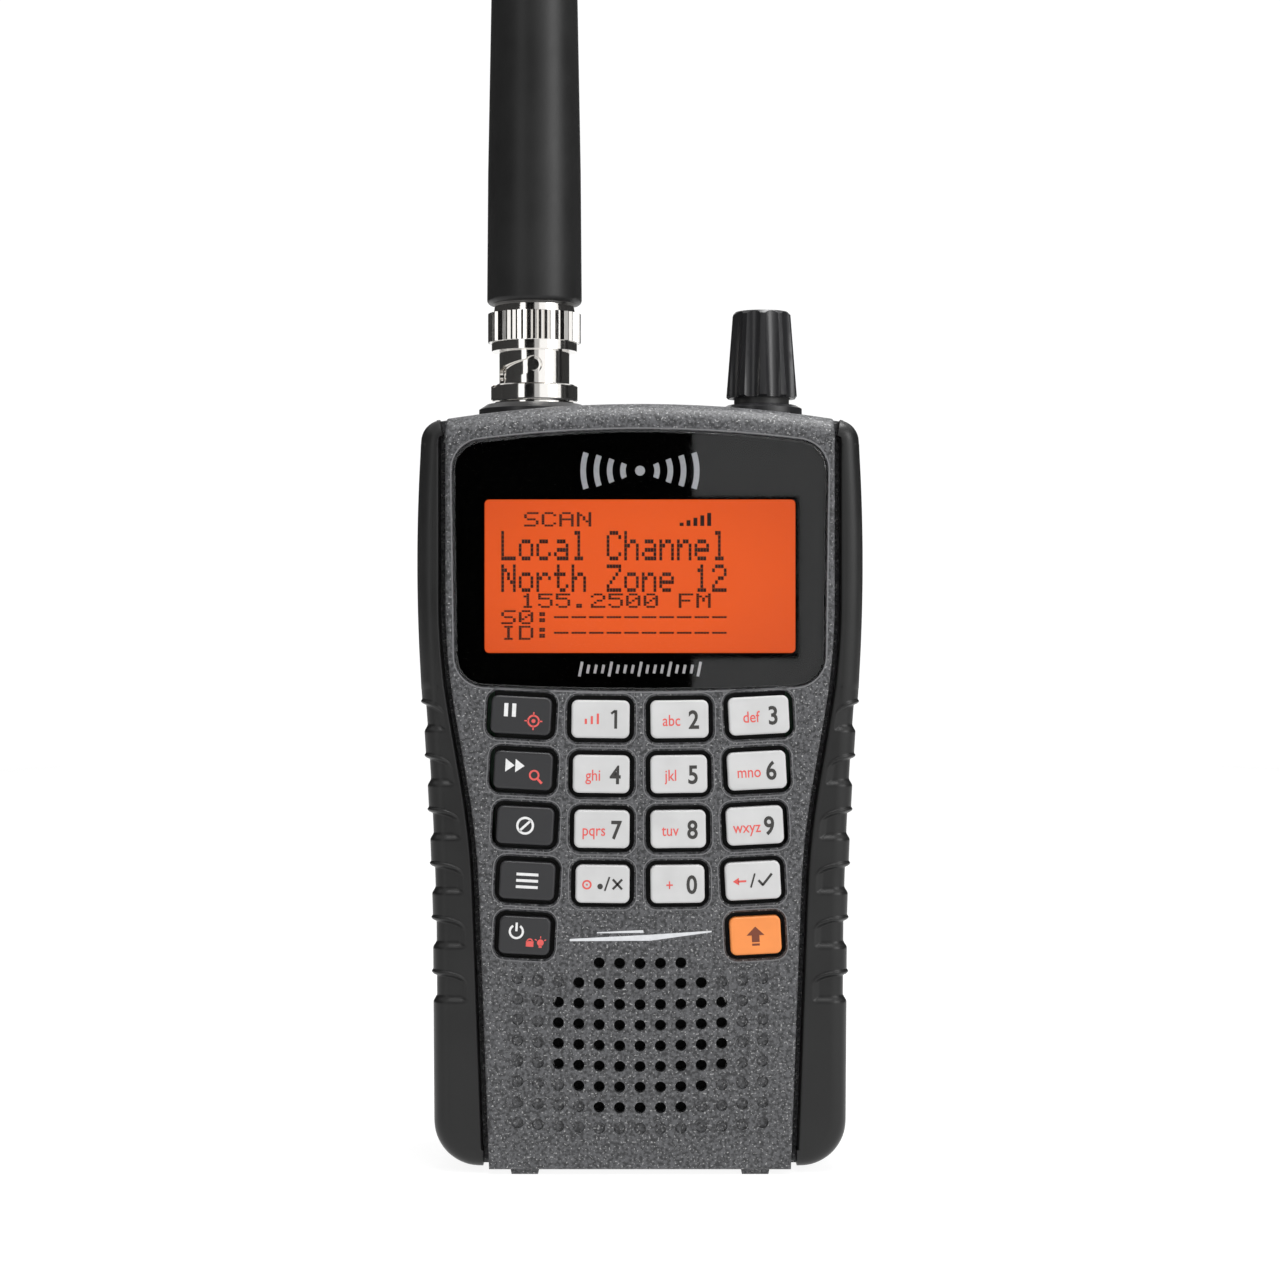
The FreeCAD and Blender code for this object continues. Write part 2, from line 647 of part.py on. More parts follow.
def make_front_case():
    """Moulded front: display recess, key wells, grille and screw bosses."""
    body = new_body("front_case")
    add_slab(body, "front_block", d.front_face, d.split_plane, waist())

    def on_top(edge):
        return lies_at(edge, d.front_face) and edge.BoundBox.ZMin > d.waist_top_height.value + 20

    def on_side(edge):
        return lies_at(edge, d.front_face) and edge.BoundBox.ZMin < d.waist_top_height.value + 0.1

    dress(body, "Fillet", "front_top_round", d.front_round, on_top)
    dress(body, "Fillet", "front_side_round", d.edge_round, on_side)
    cut_slab(body, "front_hollow", d.plate_back, d.split_plane, waist(d.wall))
    add_pegs(body, "front_bosses", d.plate_back, d.split_plane, screw_spots(d.screw_head))
    cut_pegs(body, "front_boss_holes", d.screw_tip, d.split_plane,
             screw_spots(d.screw_radius + d.screw_gap))
    cut_slab(body, "lens_recess", d.front_face, d.recess_floor, lens_outline())
    cut_slab(body, "screen_opening", d.recess_floor, d.plate_back,
             screen_rectangle(d.panel_wide + 2 * d.panel_gap, d.panel_tall + 2 * d.panel_gap))
    for name, column, row in KEYS:
        cut_slab(body, name + "_well", d.front_face, d.plate_back, key_outline(column, row, d.key_gap))

    def on_well(edge):
        box = edge.BoundBox
        inside = max(abs(box.XMin), abs(box.XMax)) < d.mat_half.value + 2
        return lies_at(edge, d.front_face) and inside and d.mat_low.value < box.ZMin < d.key_row.value + 4

    dress(body, "Chamfer", "well_bevels", d.well_edge, on_well)
    cut_pegs(body, "grille_holes", d.front_face, d.plate_back, grille(is_pierced, d.grille_hole))
    cut_pegs(body, "grille_dimples", d.front_face, d.front_face + d.dimple_deep,
             grille(is_dimpled, d.grille_dimple))
    add_slab(body, "front_feet", d.front_foot_face, d.front_foot_face + d.foot_deep, *foot_outlines())
    return body


def make_rear_case():
    """Moulded rear: cheeks, battery bay, screw posts, sockets and feet."""
    body = new_body("rear_case")
    add_slab(body, "rear_shell", d.grip_back, d.rear_face, mirrored(silhouette_half()))
    dress(body, "Fillet", "rear_edge_round", d.rear_round, lambda edge: lies_at(edge, d.rear_face))
    add_slab(body, "cheeks", d.cheek_front, d.grip_back, mirrored(cheek_half(), None))
    cut_slab(body, "front_rebate", d.cheek_front, d.split_plane, waist(-d.grip_gap))
    cut_slab(body, "split_ledge", d.split_plane, d.ledge_back, waist(d.wall - 0.2))
    cut_slab(body, "rear_hollow", d.ledge_back, d.cavity_back, mirrored(cheek_half(d.wall), None))

    bay_out = d.bay_half + d.bay_wall
    bay_floor = d.bay_low - d.bay_wall
    bay_roof = d.bay_high + d.bay_wall
    add_slab(body, "bay_block", d.bay_front - d.bay_wall, d.cavity_back,
             rectangle(-bay_out, bay_floor, bay_out, bay_roof))
    cut_slab(body, "bay_room", d.bay_front, d.rear_face,
             rectangle(-d.bay_half, d.bay_low, d.bay_half, d.bay_high))
    door_out = d.door_half + d.door_gap
    cut_slab(body, "door_rebate", d.door_face, d.rear_face,
             rectangle(-door_out, d.door_low - d.door_gap, door_out, d.door_high + d.door_gap))
    tab_half = d.tab_wide / 2 + d.foot_taper
    hook_rooms = [rectangle(side * d.tab_out - tab_half, d.tab_low - d.hook_gap,
                            side * d.tab_out + tab_half, d.bay_low + d.latch_gap) for _, side in SIDES]
    cut_slab(body, "hook_rooms", d.latch_front - d.latch_gap, d.tab_back + d.hook_gap / 3, *hook_rooms)
    latch_half = d.latch_wide / 2 + d.hook_gap
    cut_slab(body, "latch_room", d.latch_front - d.latch_gap, d.door_face,
             rectangle(-latch_half, d.bay_high - d.hook_gap, latch_half, d.door_high + d.door_gap))

    add_pegs(body, "screw_posts", d.split_plane, d.cavity_back, screw_spots(d.post_radius))
    cut_pegs(body, "post_holes", d.split_plane, d.rear_face, screw_spots(d.post_hole))
    cut_pegs(body, "screw_seats", d.head_seat, d.rear_face, screw_spots(d.head_hole))
    inserts = d.rear_face - d.insert_long
    add_pegs(body, "insert_bosses", inserts - 0.6, d.cavity_back,
             [(side * d.insert_out, d.insert_height, d.insert_boss) for _, side in SIDES])
    cut_pegs(body, "insert_holes", inserts, d.rear_face,
             [(side * d.insert_out, d.insert_height, d.insert_radius + d.insert_gap) for _, side in SIDES])

    lid = d.case_top + d.wall
    add_upright(body, "seat_bosses", d.boss_low, d.seat_height,
                [(d.antenna_out, 0, d.base_radius + 0.8), (d.knob_out, 0, d.ring_radius + 0.8)])
    cut_upright(body, "seats", d.seat_height, lid,
                [(d.antenna_out, 0, d.base_radius + d.socket_gap),
                 (d.knob_out, 0, d.ring_radius + d.socket_gap)])
    cut_upright(body, "top_holes", d.boss_low - 1, lid,
                [(d.antenna_out, 0, d.bush_radius + d.socket_gap),
                 (d.knob_out, 0, d.switch_bush + d.socket_gap),
                 (d.phone_out, d.socket_back, d.phone_radius + d.socket_gap)])
    usb_half = d.usb_wide / 2 + d.socket_gap
    usb_front = d.socket_back - d.usb_deep / 2 - d.socket_gap
    cut_upright(body, "usb_slot", d.boss_low - 1, lid,
                outlines=[rectangle(d.usb_out - usb_half, usb_front, d.usb_out + usb_half,
                                    usb_front + d.usb_deep + 2 * d.socket_gap)])
    add_slab(body, "rear_feet", d.rear_foot_face, d.rear_foot_face + d.foot_deep, *foot_outlines())
    return body


def make_grip(name, side):
    """Rubber side grip: wraps the cheek, with finger notches down its outside."""
    body = new_body("side_grip_" + name)
    inner = d.grip_inner
    half = silhouette_half() + [(inner, crown(inner), None), (inner, d.foot_height, None)]
    cheek = cheek_half()[:-1] + [(d.cheek_top, crown(d.cheek_top) + d.wall, None),
                                 (0, crown(d.cheek_top) + d.wall, None), (0, 0, None),
                                 (d.cheek_foot, 0, None)]
    gap = waist(-d.grip_gap)[:6]
    channel = gap + [(0, gap[-1][1] + d.wall, None), (0, gap[0][1], None)]
    channel[5] = (gap[5][0], gap[5][1] + d.wall, None)
    notches = []
    for place in range(6):
        middle = d.notch_first - d.notch_pitch * place
        floor = side_at(middle) - d.notch_deep
        notches.append(rectangle(floor, middle - d.notch_tall / 2,
                                 d.side_hip + d.grip_gap, middle + d.notch_tall / 2))
    outlines = [flipped(outline, side) for outline in (half, cheek, channel)]
    add_slab(body, "grip_block", d.grip_front, d.grip_back, outlines[0])

    def outer_front(edge):
        box = edge.BoundBox
        inside = min(abs(box.XMin), abs(box.XMax)) < inner.value + 0.1 and box.ZMin > 50
        upright = abs(box.XMin - box.XMax) < 1e-4 and abs(abs(box.XMin) - inner.value) < 0.1
        return lies_at(edge, d.grip_front) and not upright and not inside

    dress(body, "Fillet", "grip_round", d.grip_round, outer_front)
    cut_slab(body, "grip_hollow", d.cheek_front, d.grip_back, outlines[1])
    cut_slab(body, "grip_channel", d.grip_front, d.cheek_front, outlines[2])
    cut_slab(body, "finger_notches", d.grip_front, d.grip_back,
             *[flipped(notch, side) for notch in notches])
    return body


def flipped(outline, side):
    """The outline itself, or its mirror image for the left side."""
    if side > 0:
        return outline
    count = len(outline)
    return [(-outline[-1 - place][0], outline[-1 - place][1], outline[(count - 2 - place) % count][2])
            for place in range(count)]


# --- display and keys -----------------------------------------------------------------


def make_display():
    lens = new_body("display_lens")
    add_slab(lens, "lens_block", d.lens_face, d.lens_back, lens_outline(d.lens_gap))
    dress(lens, "Fillet", "lens_round", d.key_edge, lambda edge: lies_at(edge, d.lens_face))
    mask = new_body("lens_mask")
    add_slab(mask, "mask_sheet", d.mask_front, d.recess_floor, lens_outline(d.lens_gap))
    window = rounded(0, d.screen_height, d.window_wide, d.window_tall, d.window_corner, 0)
    cut_slab(mask, "mask_window", d.mask_front, d.recess_floor, window)
    panel = new_body("lcd_panel")
    add_slab(panel, "panel_block", d.panel_front, d.panel_back,
             screen_rectangle(d.panel_wide, d.panel_tall))
    guide = new_body("lcd_light_guide")
    add_slab(guide, "guide_block", d.panel_back + 0.05, d.guide_back,
             screen_rectangle(d.panel_wide - 2 * d.panel_gap, d.panel_tall - 2 * d.panel_gap))


def make_key(name, column, row):
    """A hard cap that fills its well, on a narrower foot that presses the dome."""
    body = new_body(name)
    add_slab(body, name + "_cap", d.key_face, d.key_step_face, key_outline(column, row, 0))
    dress(body, "Fillet", name + "_round", d.key_edge, lambda edge: lies_at(edge, d.key_face))
    add_slab(body, name + "_foot", d.key_step_face, d.key_back, key_outline(column, row, -d.key_step))


def make_keypad_mat():
    """Rubber sheet behind the wells, pierced for the feet of the keys."""
    body = new_body("keypad_mat")
    add_slab(body, "mat_sheet", d.plate_back, d.mat_back,
             rectangle(-d.mat_half, d.mat_low, d.mat_half, d.mat_high))
    speaker_room = d.speaker_radius + 2 * d.mat_gap
    cut_pegs(body, "mat_speaker_room", d.plate_back, d.mat_back, [(0, d.speaker_height, speaker_room)])
    for name, column, row in KEYS:
        cut_slab(body, name + "_hole", d.plate_back, d.mat_back,
                 key_outline(column, row, d.mat_gap - d.key_step))


# --- inside -----------------------------------------------------------------------------


def make_boards():
    domes = []
    for name, column, row in KEYS:
        across, up, _, _ = key_place(column, row)
        domes.append(disc(name + "_dome", (across, up), d.dome_radius,
                          d.front_board_face - d.dome_thick, d.front_board_face))
    grouped("dome_switches", *domes)

    front = new_body("front_board")
    right = [(d.front_board_foot, d.front_board_low, None),
             (d.front_board_bend, d.waist_low_height, None),
             (d.front_board_hip, d.front_board_hip_height, None),
             (d.front_board_hip, d.front_board_high, None)]
    add_slab(front, "front_board_sheet", d.front_board_face, d.front_board_back, mirrored(right))
    cut_pegs(front, "front_board_speaker_room", d.front_board_face, d.front_board_back,
             [(0, d.speaker_height, d.speaker_radius + 1)])

    main = new_body("main_board")
    add_slab(main, "main_board_sheet", d.main_board_face, d.main_board_back,
             rectangle(-d.main_board_half, d.main_board_low, d.main_board_half, d.main_board_high))
    inset = d.board_hole_inset
    mounts = [(side * (d.main_board_half - inset), up, d.board_hole) for _, side in SIDES
              for up in (d.main_board_low + inset, d.main_board_high - inset)]
    cut_pegs(main, "main_board_holes", d.main_board_face, d.main_board_back, mounts)

    cans = []
    for name, side in SIDES:
        inner = d.main_board_half - d.shield_inset - d.shield_wide
        near, far = (inner, inner + d.shield_wide) if side > 0 else (-inner - d.shield_wide, -inner)
        top = d.shield_low + d.shield_tall
        outside = box(name + "_can_outside", (near, d.main_board_back, d.shield_low),
                      (far, d.main_board_back + d.shield_deep, top))
        inside = box(name + "_can_inside",
                     (near + d.sheet_thick, d.main_board_back, d.shield_low + d.sheet_thick),
                     (far - d.sheet_thick, d.main_board_back + d.shield_deep - d.sheet_thick,
                      top - d.sheet_thick))
        cans.append(without(name + "_can", outside, inside))
    grouped("rf_shields", *cans)
    box("board_connector", (-d.plug_half, d.front_board_back, d.board_plug_low),
        (d.plug_half, d.main_board_face, d.board_plug_high))


def make_speaker():
    """Moving-coil speaker behind the grille, facing the front."""
    centre = (0, d.speaker_height)
    cloth_back = d.plate_back + d.cloth_thick
    plate = d.basket_back - 0.6
    disc("speaker_cloth", centre, d.speaker_radius - 0.2, d.plate_back, cloth_back)
    rim = disc("basket_rim", centre, d.speaker_radius, cloth_back, d.basket_back)
    hollow = disc("basket_hollow", centre, d.speaker_radius - 0.8, cloth_back, plate)
    vent = disc("basket_vent", centre, d.magnet_radius / 2, plate, d.basket_back)
    without("speaker_frame", rim, hollow, vent)
    disc("speaker_magnet", centre, d.magnet_radius, d.basket_back, d.magnet_back)
    shells = []
    for name, thick in (("cone_outside", 0), ("cone_inside", d.sheet_thick)):
        shell = doc.addObject("Part::Cone", name)
        bind(shell, "Radius1", d.speaker_radius - 1.2 - thick)
        bind(shell, "Radius2", d.magnet_radius / 2 - thick)
        bind(shell, "Height", d.cone_back - d.cone_front)
        shell.Placement = Placement(Vector(), Rotation(Vector(1, 0, 0), -90))
        bind(shell, ".Placement.Base.y", d.cone_front - thick)
        bind(shell, ".Placement.Base.z", d.speaker_height)
        shells.append(shell)
    without("speaker_cone", *shells)


def make_case_screws():
    screws = []
    for place, (across, up, _) in enumerate(screw_spots(0)):
        head_back = d.head_seat + d.head_thick
        shank = disc(f"shank_{place}", (across, up), d.screw_radius, d.shank_tip, d.head_seat)
        head = disc(f"head_{place}", (across, up), d.screw_head, d.head_seat, head_back)
        drive = disc(f"drive_{place}", (across, up), d.drive_radius, head_back - d.drive_deep, head_back)
        screws.append(without(f"screw_{place}", fused(f"blank_{place}", shank, head), drive))
    grouped("case_screws", *screws)


def make_belt_clip_inserts():
    inserts = []
    for name, side in SIDES:
        spot = (side * d.insert_out, d.insert_height)
        front = d.rear_face - d.insert_long
        outside = disc(name + "_insert_outside", spot, d.insert_radius, front, d.rear_face)
        bore = disc(name + "_insert_bore", spot, d.insert_bore, front, d.rear_face)
        inserts.append(without(name + "_insert", outside, bore))
    grouped("belt_clip_inserts", *inserts)


# --- battery bay ---------------------------------------------------------------------------


def make_battery_door():
    """Sliding plate of the bay, hooked under the case at its foot."""
    body = new_body("battery_door")
    add_slab(body, "door_plate", d.door_face, d.rear_face,
             rectangle(-d.door_half, d.door_low, d.door_half, d.door_high))
    hooks = []
    for _, side in SIDES:
        near = side * d.tab_out - d.tab_wide / 2
        hooks.append(rectangle(near, d.tab_low, near + d.tab_wide, d.tab_high))
    add_slab(body, "door_hooks", d.tab_front, d.tab_back, *hooks)
    latch = d.latch_wide / 2
    add_slab(body, "door_latch", d.latch_front, d.door_face + 0.2,
             rectangle(-latch, d.latch_low, latch, d.door_high))
    ridges = []
    for place in range(6):
        high = d.ridge_first - d.ridge_pitch * place
        ridges.append(rounded(0, high, d.ridge_wide, d.ridge_tall, d.ridge_deep, 0))
    cut_slab(body, "thumb_ridges", d.rear_face - d.ridge_deep, d.rear_face, *ridges)


def make_battery():
    """Two round cells, one up and one down, with their contacts and springs."""
    cells = []
    plates = []
    springs = []
    for name, side in SIDES:
        spot = (side * d.cell_out, d.cell_middle)
        spring_end = d.contact_thick + d.spring_long + d.spring_gap
        if side < 0:
            low = d.bay_low + spring_end
            high = low + d.cell_long
            nub = rod(name + "_nub", spot, d.nub_radius, high, high + d.nub_long)
            stud_span = (high + d.nub_long + d.nub_gap, d.bay_high - d.contact_thick)
            spring_foot = d.bay_low + d.contact_thick
        else:
            high = d.bay_high - spring_end
            low = high - d.cell_long
            nub = rod(name + "_nub", spot, d.nub_radius, low - d.nub_long, low)
            stud_span = (d.bay_low + d.contact_thick, low - d.nub_long - d.nub_gap)
            spring_foot = d.bay_high - d.contact_thick - d.spring_long
        can = rod(name + "_can_body", spot, d.cell_radius, low, high)
        cells.append(fused(name + "_cell", can, nub))
        stud = rod(name + "_stud", spot, d.nub_radius, *stud_span)
        for end, floor in (("foot", d.bay_low), ("head", d.bay_high - d.contact_thick)):
            half = d.contact_half
            plate = box(f"{name}_{end}_plate", (spot[0] - half, spot[1] - half, floor),
                        (spot[0] + half, spot[1] + half, floor + d.contact_thick))
            stud_here = (end == "head") == (side < 0)
            plates.append(fused(f"{name}_{end}_contact", plate, stud) if stud_here else plate)
        springs.append(make_spring(name, spot, spring_foot))
    grouped("battery_cells", *cells)
    grouped("battery_contacts", *plates)
    grouped("battery_springs", *springs)


def make_spring(name, spot, foot):
    """A coil of round wire between two ends flush with its length."""
    helix = doc.addObject("Part::Helix", name + "_coil_path")
    bind(helix, "Radius", d.spring_radius)
    bind(helix, "Height", d.spring_long - 2 * d.spring_wire)
    bind(helix, "Pitch", (d.spring_long - 2 * d.spring_wire) / 3)
    wire = doc.addObject("Part::Circle", name + "_coil_wire")
    bind(wire, "Radius", d.spring_wire)
    wire.Placement = Placement(Vector(), Rotation(Vector(1, 0, 0), 90))
    bind(wire, ".Placement.Base.x", d.spring_radius)
    coil = doc.addObject("Part::Sweep", name + "_coil")
    coil.Sections = [wire]
    coil.Spine = (helix, [])
    coil.Solid = True
    coil.Frenet = True
    for axis, size in zip("xyz", (spot[0], spot[1], foot + d.spring_wire)):
        bind(coil, f".Placement.Base.{axis}", size)
    return coil


# --- antenna socket, coupling ring and antenna --------------------------------------------------


def make_antenna_socket():
    ring = [(d.base_bore, d.seat_height), (d.base_radius, d.seat_height),
            (d.base_radius, d.base_high - 0.8), (d.base_radius - 1.2, d.base_high),
            (d.base_bore, d.base_high)]
    turned("antenna_base_ring", d.antenna_out, ring)

    barrel = [(d.insulator_radius + 0.05, d.jack_low), (d.bush_radius, d.jack_low),
              (d.bush_radius, d.base_high), (d.jack_flange, d.base_high),
              (d.jack_flange, d.jack_flange_high), (d.jack_radius, d.jack_flange_high),
              (d.jack_radius, d.jack_high), (d.jack_bore, d.jack_high),
              (d.jack_bore, d.jack_floor), (d.insulator_radius + 0.05, d.jack_floor)]
    jack = turned("bnc_jack", d.antenna_out, barrel)
    for name, side in (("front", -1), ("back", 1)):
        near = d.jack_radius - 0.3
        front, back = (near, d.lug_reach) if side > 0 else (-d.lug_reach, -near)
        add_pegs(jack, name + "_lug", front, back, [(0, d.lug_height, d.lug_radius)])

    nut = doc.addObject("Part::Prism", "nut_blank")
    nut.Polygon = 6
    bind(nut, "Circumradius", d.nut_flat / math.cos(math.pi / 6))
    bind(nut, "Height", d.nut_high - d.nut_low)
    bind(nut, ".Placement.Base.x", d.antenna_out)
    bind(nut, ".Placement.Base.z", d.nut_low)
    bore = rod("nut_bore", (d.antenna_out, 0), d.bush_radius + d.socket_gap, d.nut_low, d.nut_high)
    without("bnc_nut", nut, bore)

    tube("bnc_insulator", d.antenna_out, d.insulator_bore, d.insulator_radius,
         d.insulator_low, d.insulator_high)
    tube("bnc_socket_contact", d.antenna_out, d.contact_bore, d.contact_radius,
         d.contact_low, d.contact_high)


def make_collar():
    """Bayonet ring: a knurled grip over a slotted sleeve that locks on the lugs."""
    gap = d.wave_gap
    tube("collar_spring", d.antenna_out, d.sleeve_bore + gap, d.collar_bore - gap,
         d.collar_floor + gap, d.collar_floor + gap + d.wave_thick)
    bevel = d.rim_bevel
    profile = [(d.rim_bore, d.rim_low), (d.rim_radius - bevel, d.rim_low),
               (d.rim_radius, d.rim_low + bevel), (d.rim_radius, d.rim_high - bevel),
               (d.rim_radius - bevel, d.rim_high),
               (d.sleeve_radius, d.rim_high), (d.sleeve_radius, d.sleeve_high),
               (d.flange_radius, d.sleeve_high), (d.flange_radius, d.flange_high),
               (d.knurl_radius, d.flange_high), (d.knurl_radius, d.knurl_high),
               (d.cup_radius, d.knurl_high), (d.cup_radius, d.cup_floor),
               (d.collar_bore, d.cup_floor), (d.collar_bore, d.collar_floor),
               (d.sleeve_bore, d.collar_floor), (d.sleeve_bore, d.rim_step),
               (d.rim_bore, d.rim_step)]
    ring = turned("collar_ring", d.antenna_out, profile)
    sketch = new_sketch(ring, "knurl_sketch", "XY_Plane", d.knurl_high)
    half = d.knurl_radius * math.pi / d.knurl_count
    draw(sketch, [(d.knurl_radius - d.knurl_deep, 0, None), (d.knurl_radius + 0.05, -half, None),
                  (d.knurl_radius + 0.05, half, None)])
    groove = apply_profile(ring, "Pocket", "knurl_groove", sketch, d.knurl_high - d.flange_high)
    spread_round(ring, "knurl", groove, d.knurl_count)

    cutters = []
    for side, facing in (("front", -90), ("back", 90)):
        cutters.append(radial_peg(side + "_detent", facing, d.lug_height, d.detent_radius))
        steps = 13
        for step in range(steps + 1):
            share = step / steps
            cutters.append(radial_peg(f"{side}_slot_{step}", facing - d.slot_turn * share,
                                      d.lug_height - d.slot_drop * share, d.slot_radius))
        cutters.append(radial_peg(side + "_mouth", facing - d.slot_turn, d.slot_mouth, d.slot_radius))
    without("bnc_collar", ring, *cutters)


def radial_peg(name, facing, up, radius):
    """A cutter that points outwards from the antenna's axis, turned to an angle."""
    peg = doc.addObject("Part::Cylinder", name)
    bind(peg, "Radius", radius)
    bind(peg, "Height", d.rim_radius)
    peg.Placement = Placement(Vector(), Rotation(Vector(0, 1, 0), 90))
    bind(peg, ".Placement.Base.x", d.antenna_out)
    bind(peg, ".Placement.Base.z", up)
    turn = sized(facing)
    peg.Placement.Rotation = Rotation(Vector(0, 0, 1), turn.value) * Rotation(Vector(0, 1, 0), 90)
    return peg


def spread_round(body, name, feature, count):
    """Repeat a feature evenly about the body's upright axis."""
    before = body.Shape.Volume
    pattern = body.newObject("PartDesign::PolarPattern", name)
    pattern.Originals = [feature]
    axis = next(item for item in body.Origin.OriginFeatures if item.Role == "Z_Axis")
    pattern.Axis = (axis, [""])
    pattern.Angle = 360
    bind(pattern, "Occurrences", count)
    body.Tip = pattern
    doc.recompute()
    if abs(body.Shape.Volume - before) < 1e-3:
        raise RuntimeError(f"{body.Label}: {name} changes nothing")


def make_antenna():
    plug = [(d.pin_radius + d.core_gap, d.plug_disc_low), (d.plug_tube_bore, d.plug_disc_low),
            (d.plug_tube_bore, d.plug_low), (d.plug_tube, d.plug_low),
            (d.plug_tube, d.plug_disc_low), (d.plug_disc, d.plug_disc_low),
            (d.plug_disc, d.neck_low), (d.neck_radius, d.neck_low),
            (d.neck_top_radius, d.sheath_low - 0.02), (d.shank_radius, d.sheath_low - 0.02),
            (d.shank_radius, d.shank_high), (d.pin_radius + d.core_gap, d.shank_high)]
    turned("antenna_plug", d.antenna_out, plug)
    turned("plug_pin", d.antenna_out,
           [(0, d.pin_low), (d.pin_radius / 2, d.pin_low), (d.pin_radius, d.pin_low + 0.6),
            (d.pin_radius, d.shank_high), (0, d.shank_high)])
    turned("antenna_core", d.antenna_out,
           [(0, d.core_low), (d.core_radius, d.core_low), (d.core_radius, d.core_high),
            (0, d.core_high)])
    shank = d.shank_radius + d.core_gap
    core = d.core_radius + d.core_gap
    tip = d.sheath_tip_radius
    sheath = [(0, d.core_high + 0.2), (core, d.core_high + 0.2), (core, d.shank_high + 0.5),
              (shank, d.shank_high + 0.5), (shank, d.sheath_low),
              (d.sheath_radius - d.sheath_lip, d.sheath_low, d.sheath_lip),
              (d.sheath_radius, d.sheath_low + d.sheath_lip),
              (d.sheath_mid_radius, d.sheath_mid), (tip, d.sheath_shoulder, d.sheath_dome),
              (0, d.sheath_shoulder + d.sheath_dome - root(d.sheath_dome * d.sheath_dome - tip * tip))]
    turned("antenna_sheath", d.antenna_out, sheath)


# --- rotary knob -----------------------------------------------------------------------------


def make_knob():
    ring = [(d.ring_bore, d.seat_height), (d.ring_radius, d.seat_height),
            (d.ring_radius, d.ring_high - 0.5), (d.ring_radius - 0.9, d.ring_high),
            (d.ring_bore, d.ring_high)]
    turned("knob_base_ring", d.knob_out, ring)

    half = d.switch_half
    housing = box("switch_housing", (d.knob_out - half, -half, d.switch_low),
                  (d.knob_out + half, half, d.switch_high))
    middle = (d.knob_out, 0)
    bush = rod("switch_bushing", middle, d.switch_bush, d.switch_high, d.switch_bush_high)
    room = rod("switch_room", middle, d.rotor_radius + 0.2, d.rotor_low - d.rotor_room,
               d.rotor_high + d.rotor_room)
    bore = rod("switch_bore", middle, d.switch_bore, d.rotor_low, d.switch_bush_high)
    without("encoder_body", fused("switch_blank", housing, bush), room, bore)
    tube("encoder_rotor", d.knob_out, d.rotor_bore, d.rotor_radius, d.rotor_low, d.rotor_high)
    turned("encoder_shaft", d.knob_out,
           [(0, d.spindle_low), (d.spindle_radius, d.spindle_low),
            (d.spindle_radius, d.spindle_high - 0.4), (d.spindle_radius - 0.4, d.spindle_high),
            (0, d.spindle_high)])

    bored = d.spindle_radius + 0.02
    knob = turned("control_knob", d.knob_out,
                  [(d.knob_recess, d.knob_low), (d.knob_foot - 0.3, d.knob_low),
                   (d.knob_foot, d.knob_low + 0.3), (d.knob_top, d.knob_high - 0.5),
                   (d.knob_top - 0.5, d.knob_high), (0, d.knob_high),
                   (0, d.spindle_high + 0.2), (bored, d.spindle_high + 0.2),
                   (bored, d.knob_recess_high), (d.knob_recess, d.knob_recess_high)])
    sketch = new_sketch(knob, "flute_sketch", "XY_Plane", d.knob_high)
    draw_circles(sketch, [(d.flute_centre, 0, d.flute_radius)])
    flute = apply_profile(knob, "Pocket", "flute", sketch, d.knob_high - d.knob_low)
    bind(flute, "TaperAngle", -d.flute_taper)
    spread_round(knob, "flutes", flute, d.flute_count)


def make_sockets():
    tube("phone_jack", d.phone_out, d.phone_bore, d.phone_radius, d.phone_low, d.phone_high,
         d.socket_back)
    half = d.usb_wide / 2
    front = d.socket_back - d.usb_deep / 2
    shell = box("usb_shell", (d.usb_out - half, front, d.usb_low),
                (d.usb_out + half, front + d.usb_deep, d.usb_high))
    wall = d.usb_wall
    room = box("usb_room", (d.usb_out - half + wall, front + wall, d.usb_low + 4),
               (d.usb_out + half - wall, front + d.usb_deep - wall, d.usb_high))
    without("usb_socket", shell, room)


# --- build, check and write ----------------------------------------------------------------------

NODES = [
    "front_case", "rear_case", "side_grip_left", "side_grip_right", "display_lens", "lens_mask",
    "lcd_panel", "lcd_light_guide", "keypad_mat", *[name for name, _, _ in KEYS],
    "dome_switches", "front_board", "main_board", "rf_shields", "board_connector",
    "speaker_cloth", "speaker_frame", "speaker_cone", "speaker_magnet", "case_screws",
    "belt_clip_inserts", "battery_door", "battery_cells", "battery_contacts",
    "battery_springs", "antenna_base_ring", "bnc_jack", "bnc_nut", "bnc_insulator",
    "bnc_socket_contact", "collar_spring", "bnc_collar", "antenna_plug", "plug_pin",
    "antenna_core", "antenna_sheath", "knob_base_ring", "encoder_body", "encoder_rotor",
    "encoder_shaft", "control_knob", "phone_jack", "usb_socket",
]

make_front_case()
make_rear_case()
for grip_name, grip_side in SIDES:
    make_grip(grip_name, grip_side)
make_display()
for key_name, key_column, key_row in KEYS:
    make_key(key_name, key_column, key_row)
make_keypad_mat()
make_boards()
make_speaker()
make_case_screws()
make_belt_clip_inserts()
make_battery_door()
make_battery()
make_antenna_socket()
make_collar()
make_antenna()
make_knob()
make_sockets()
doc.recompute()

failed = [item.Label for item in doc.Objects if "Invalid" in item.State or "Error" in item.State]
if failed:
    raise RuntimeError("failed features: " + ", ".join(failed))

os.makedirs("parts", exist_ok=True)
for node in NODES:
    shape = doc.getObjectsByLabel(node)[0].Shape
    if shape.isNull() or not shape.isValid() or not shape.Solids:
        raise RuntimeError("no valid solid in " + node)
    shape.exportStep(f"parts/{node}.step")
print(len(NODES), "parts written")
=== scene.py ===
import json
import math

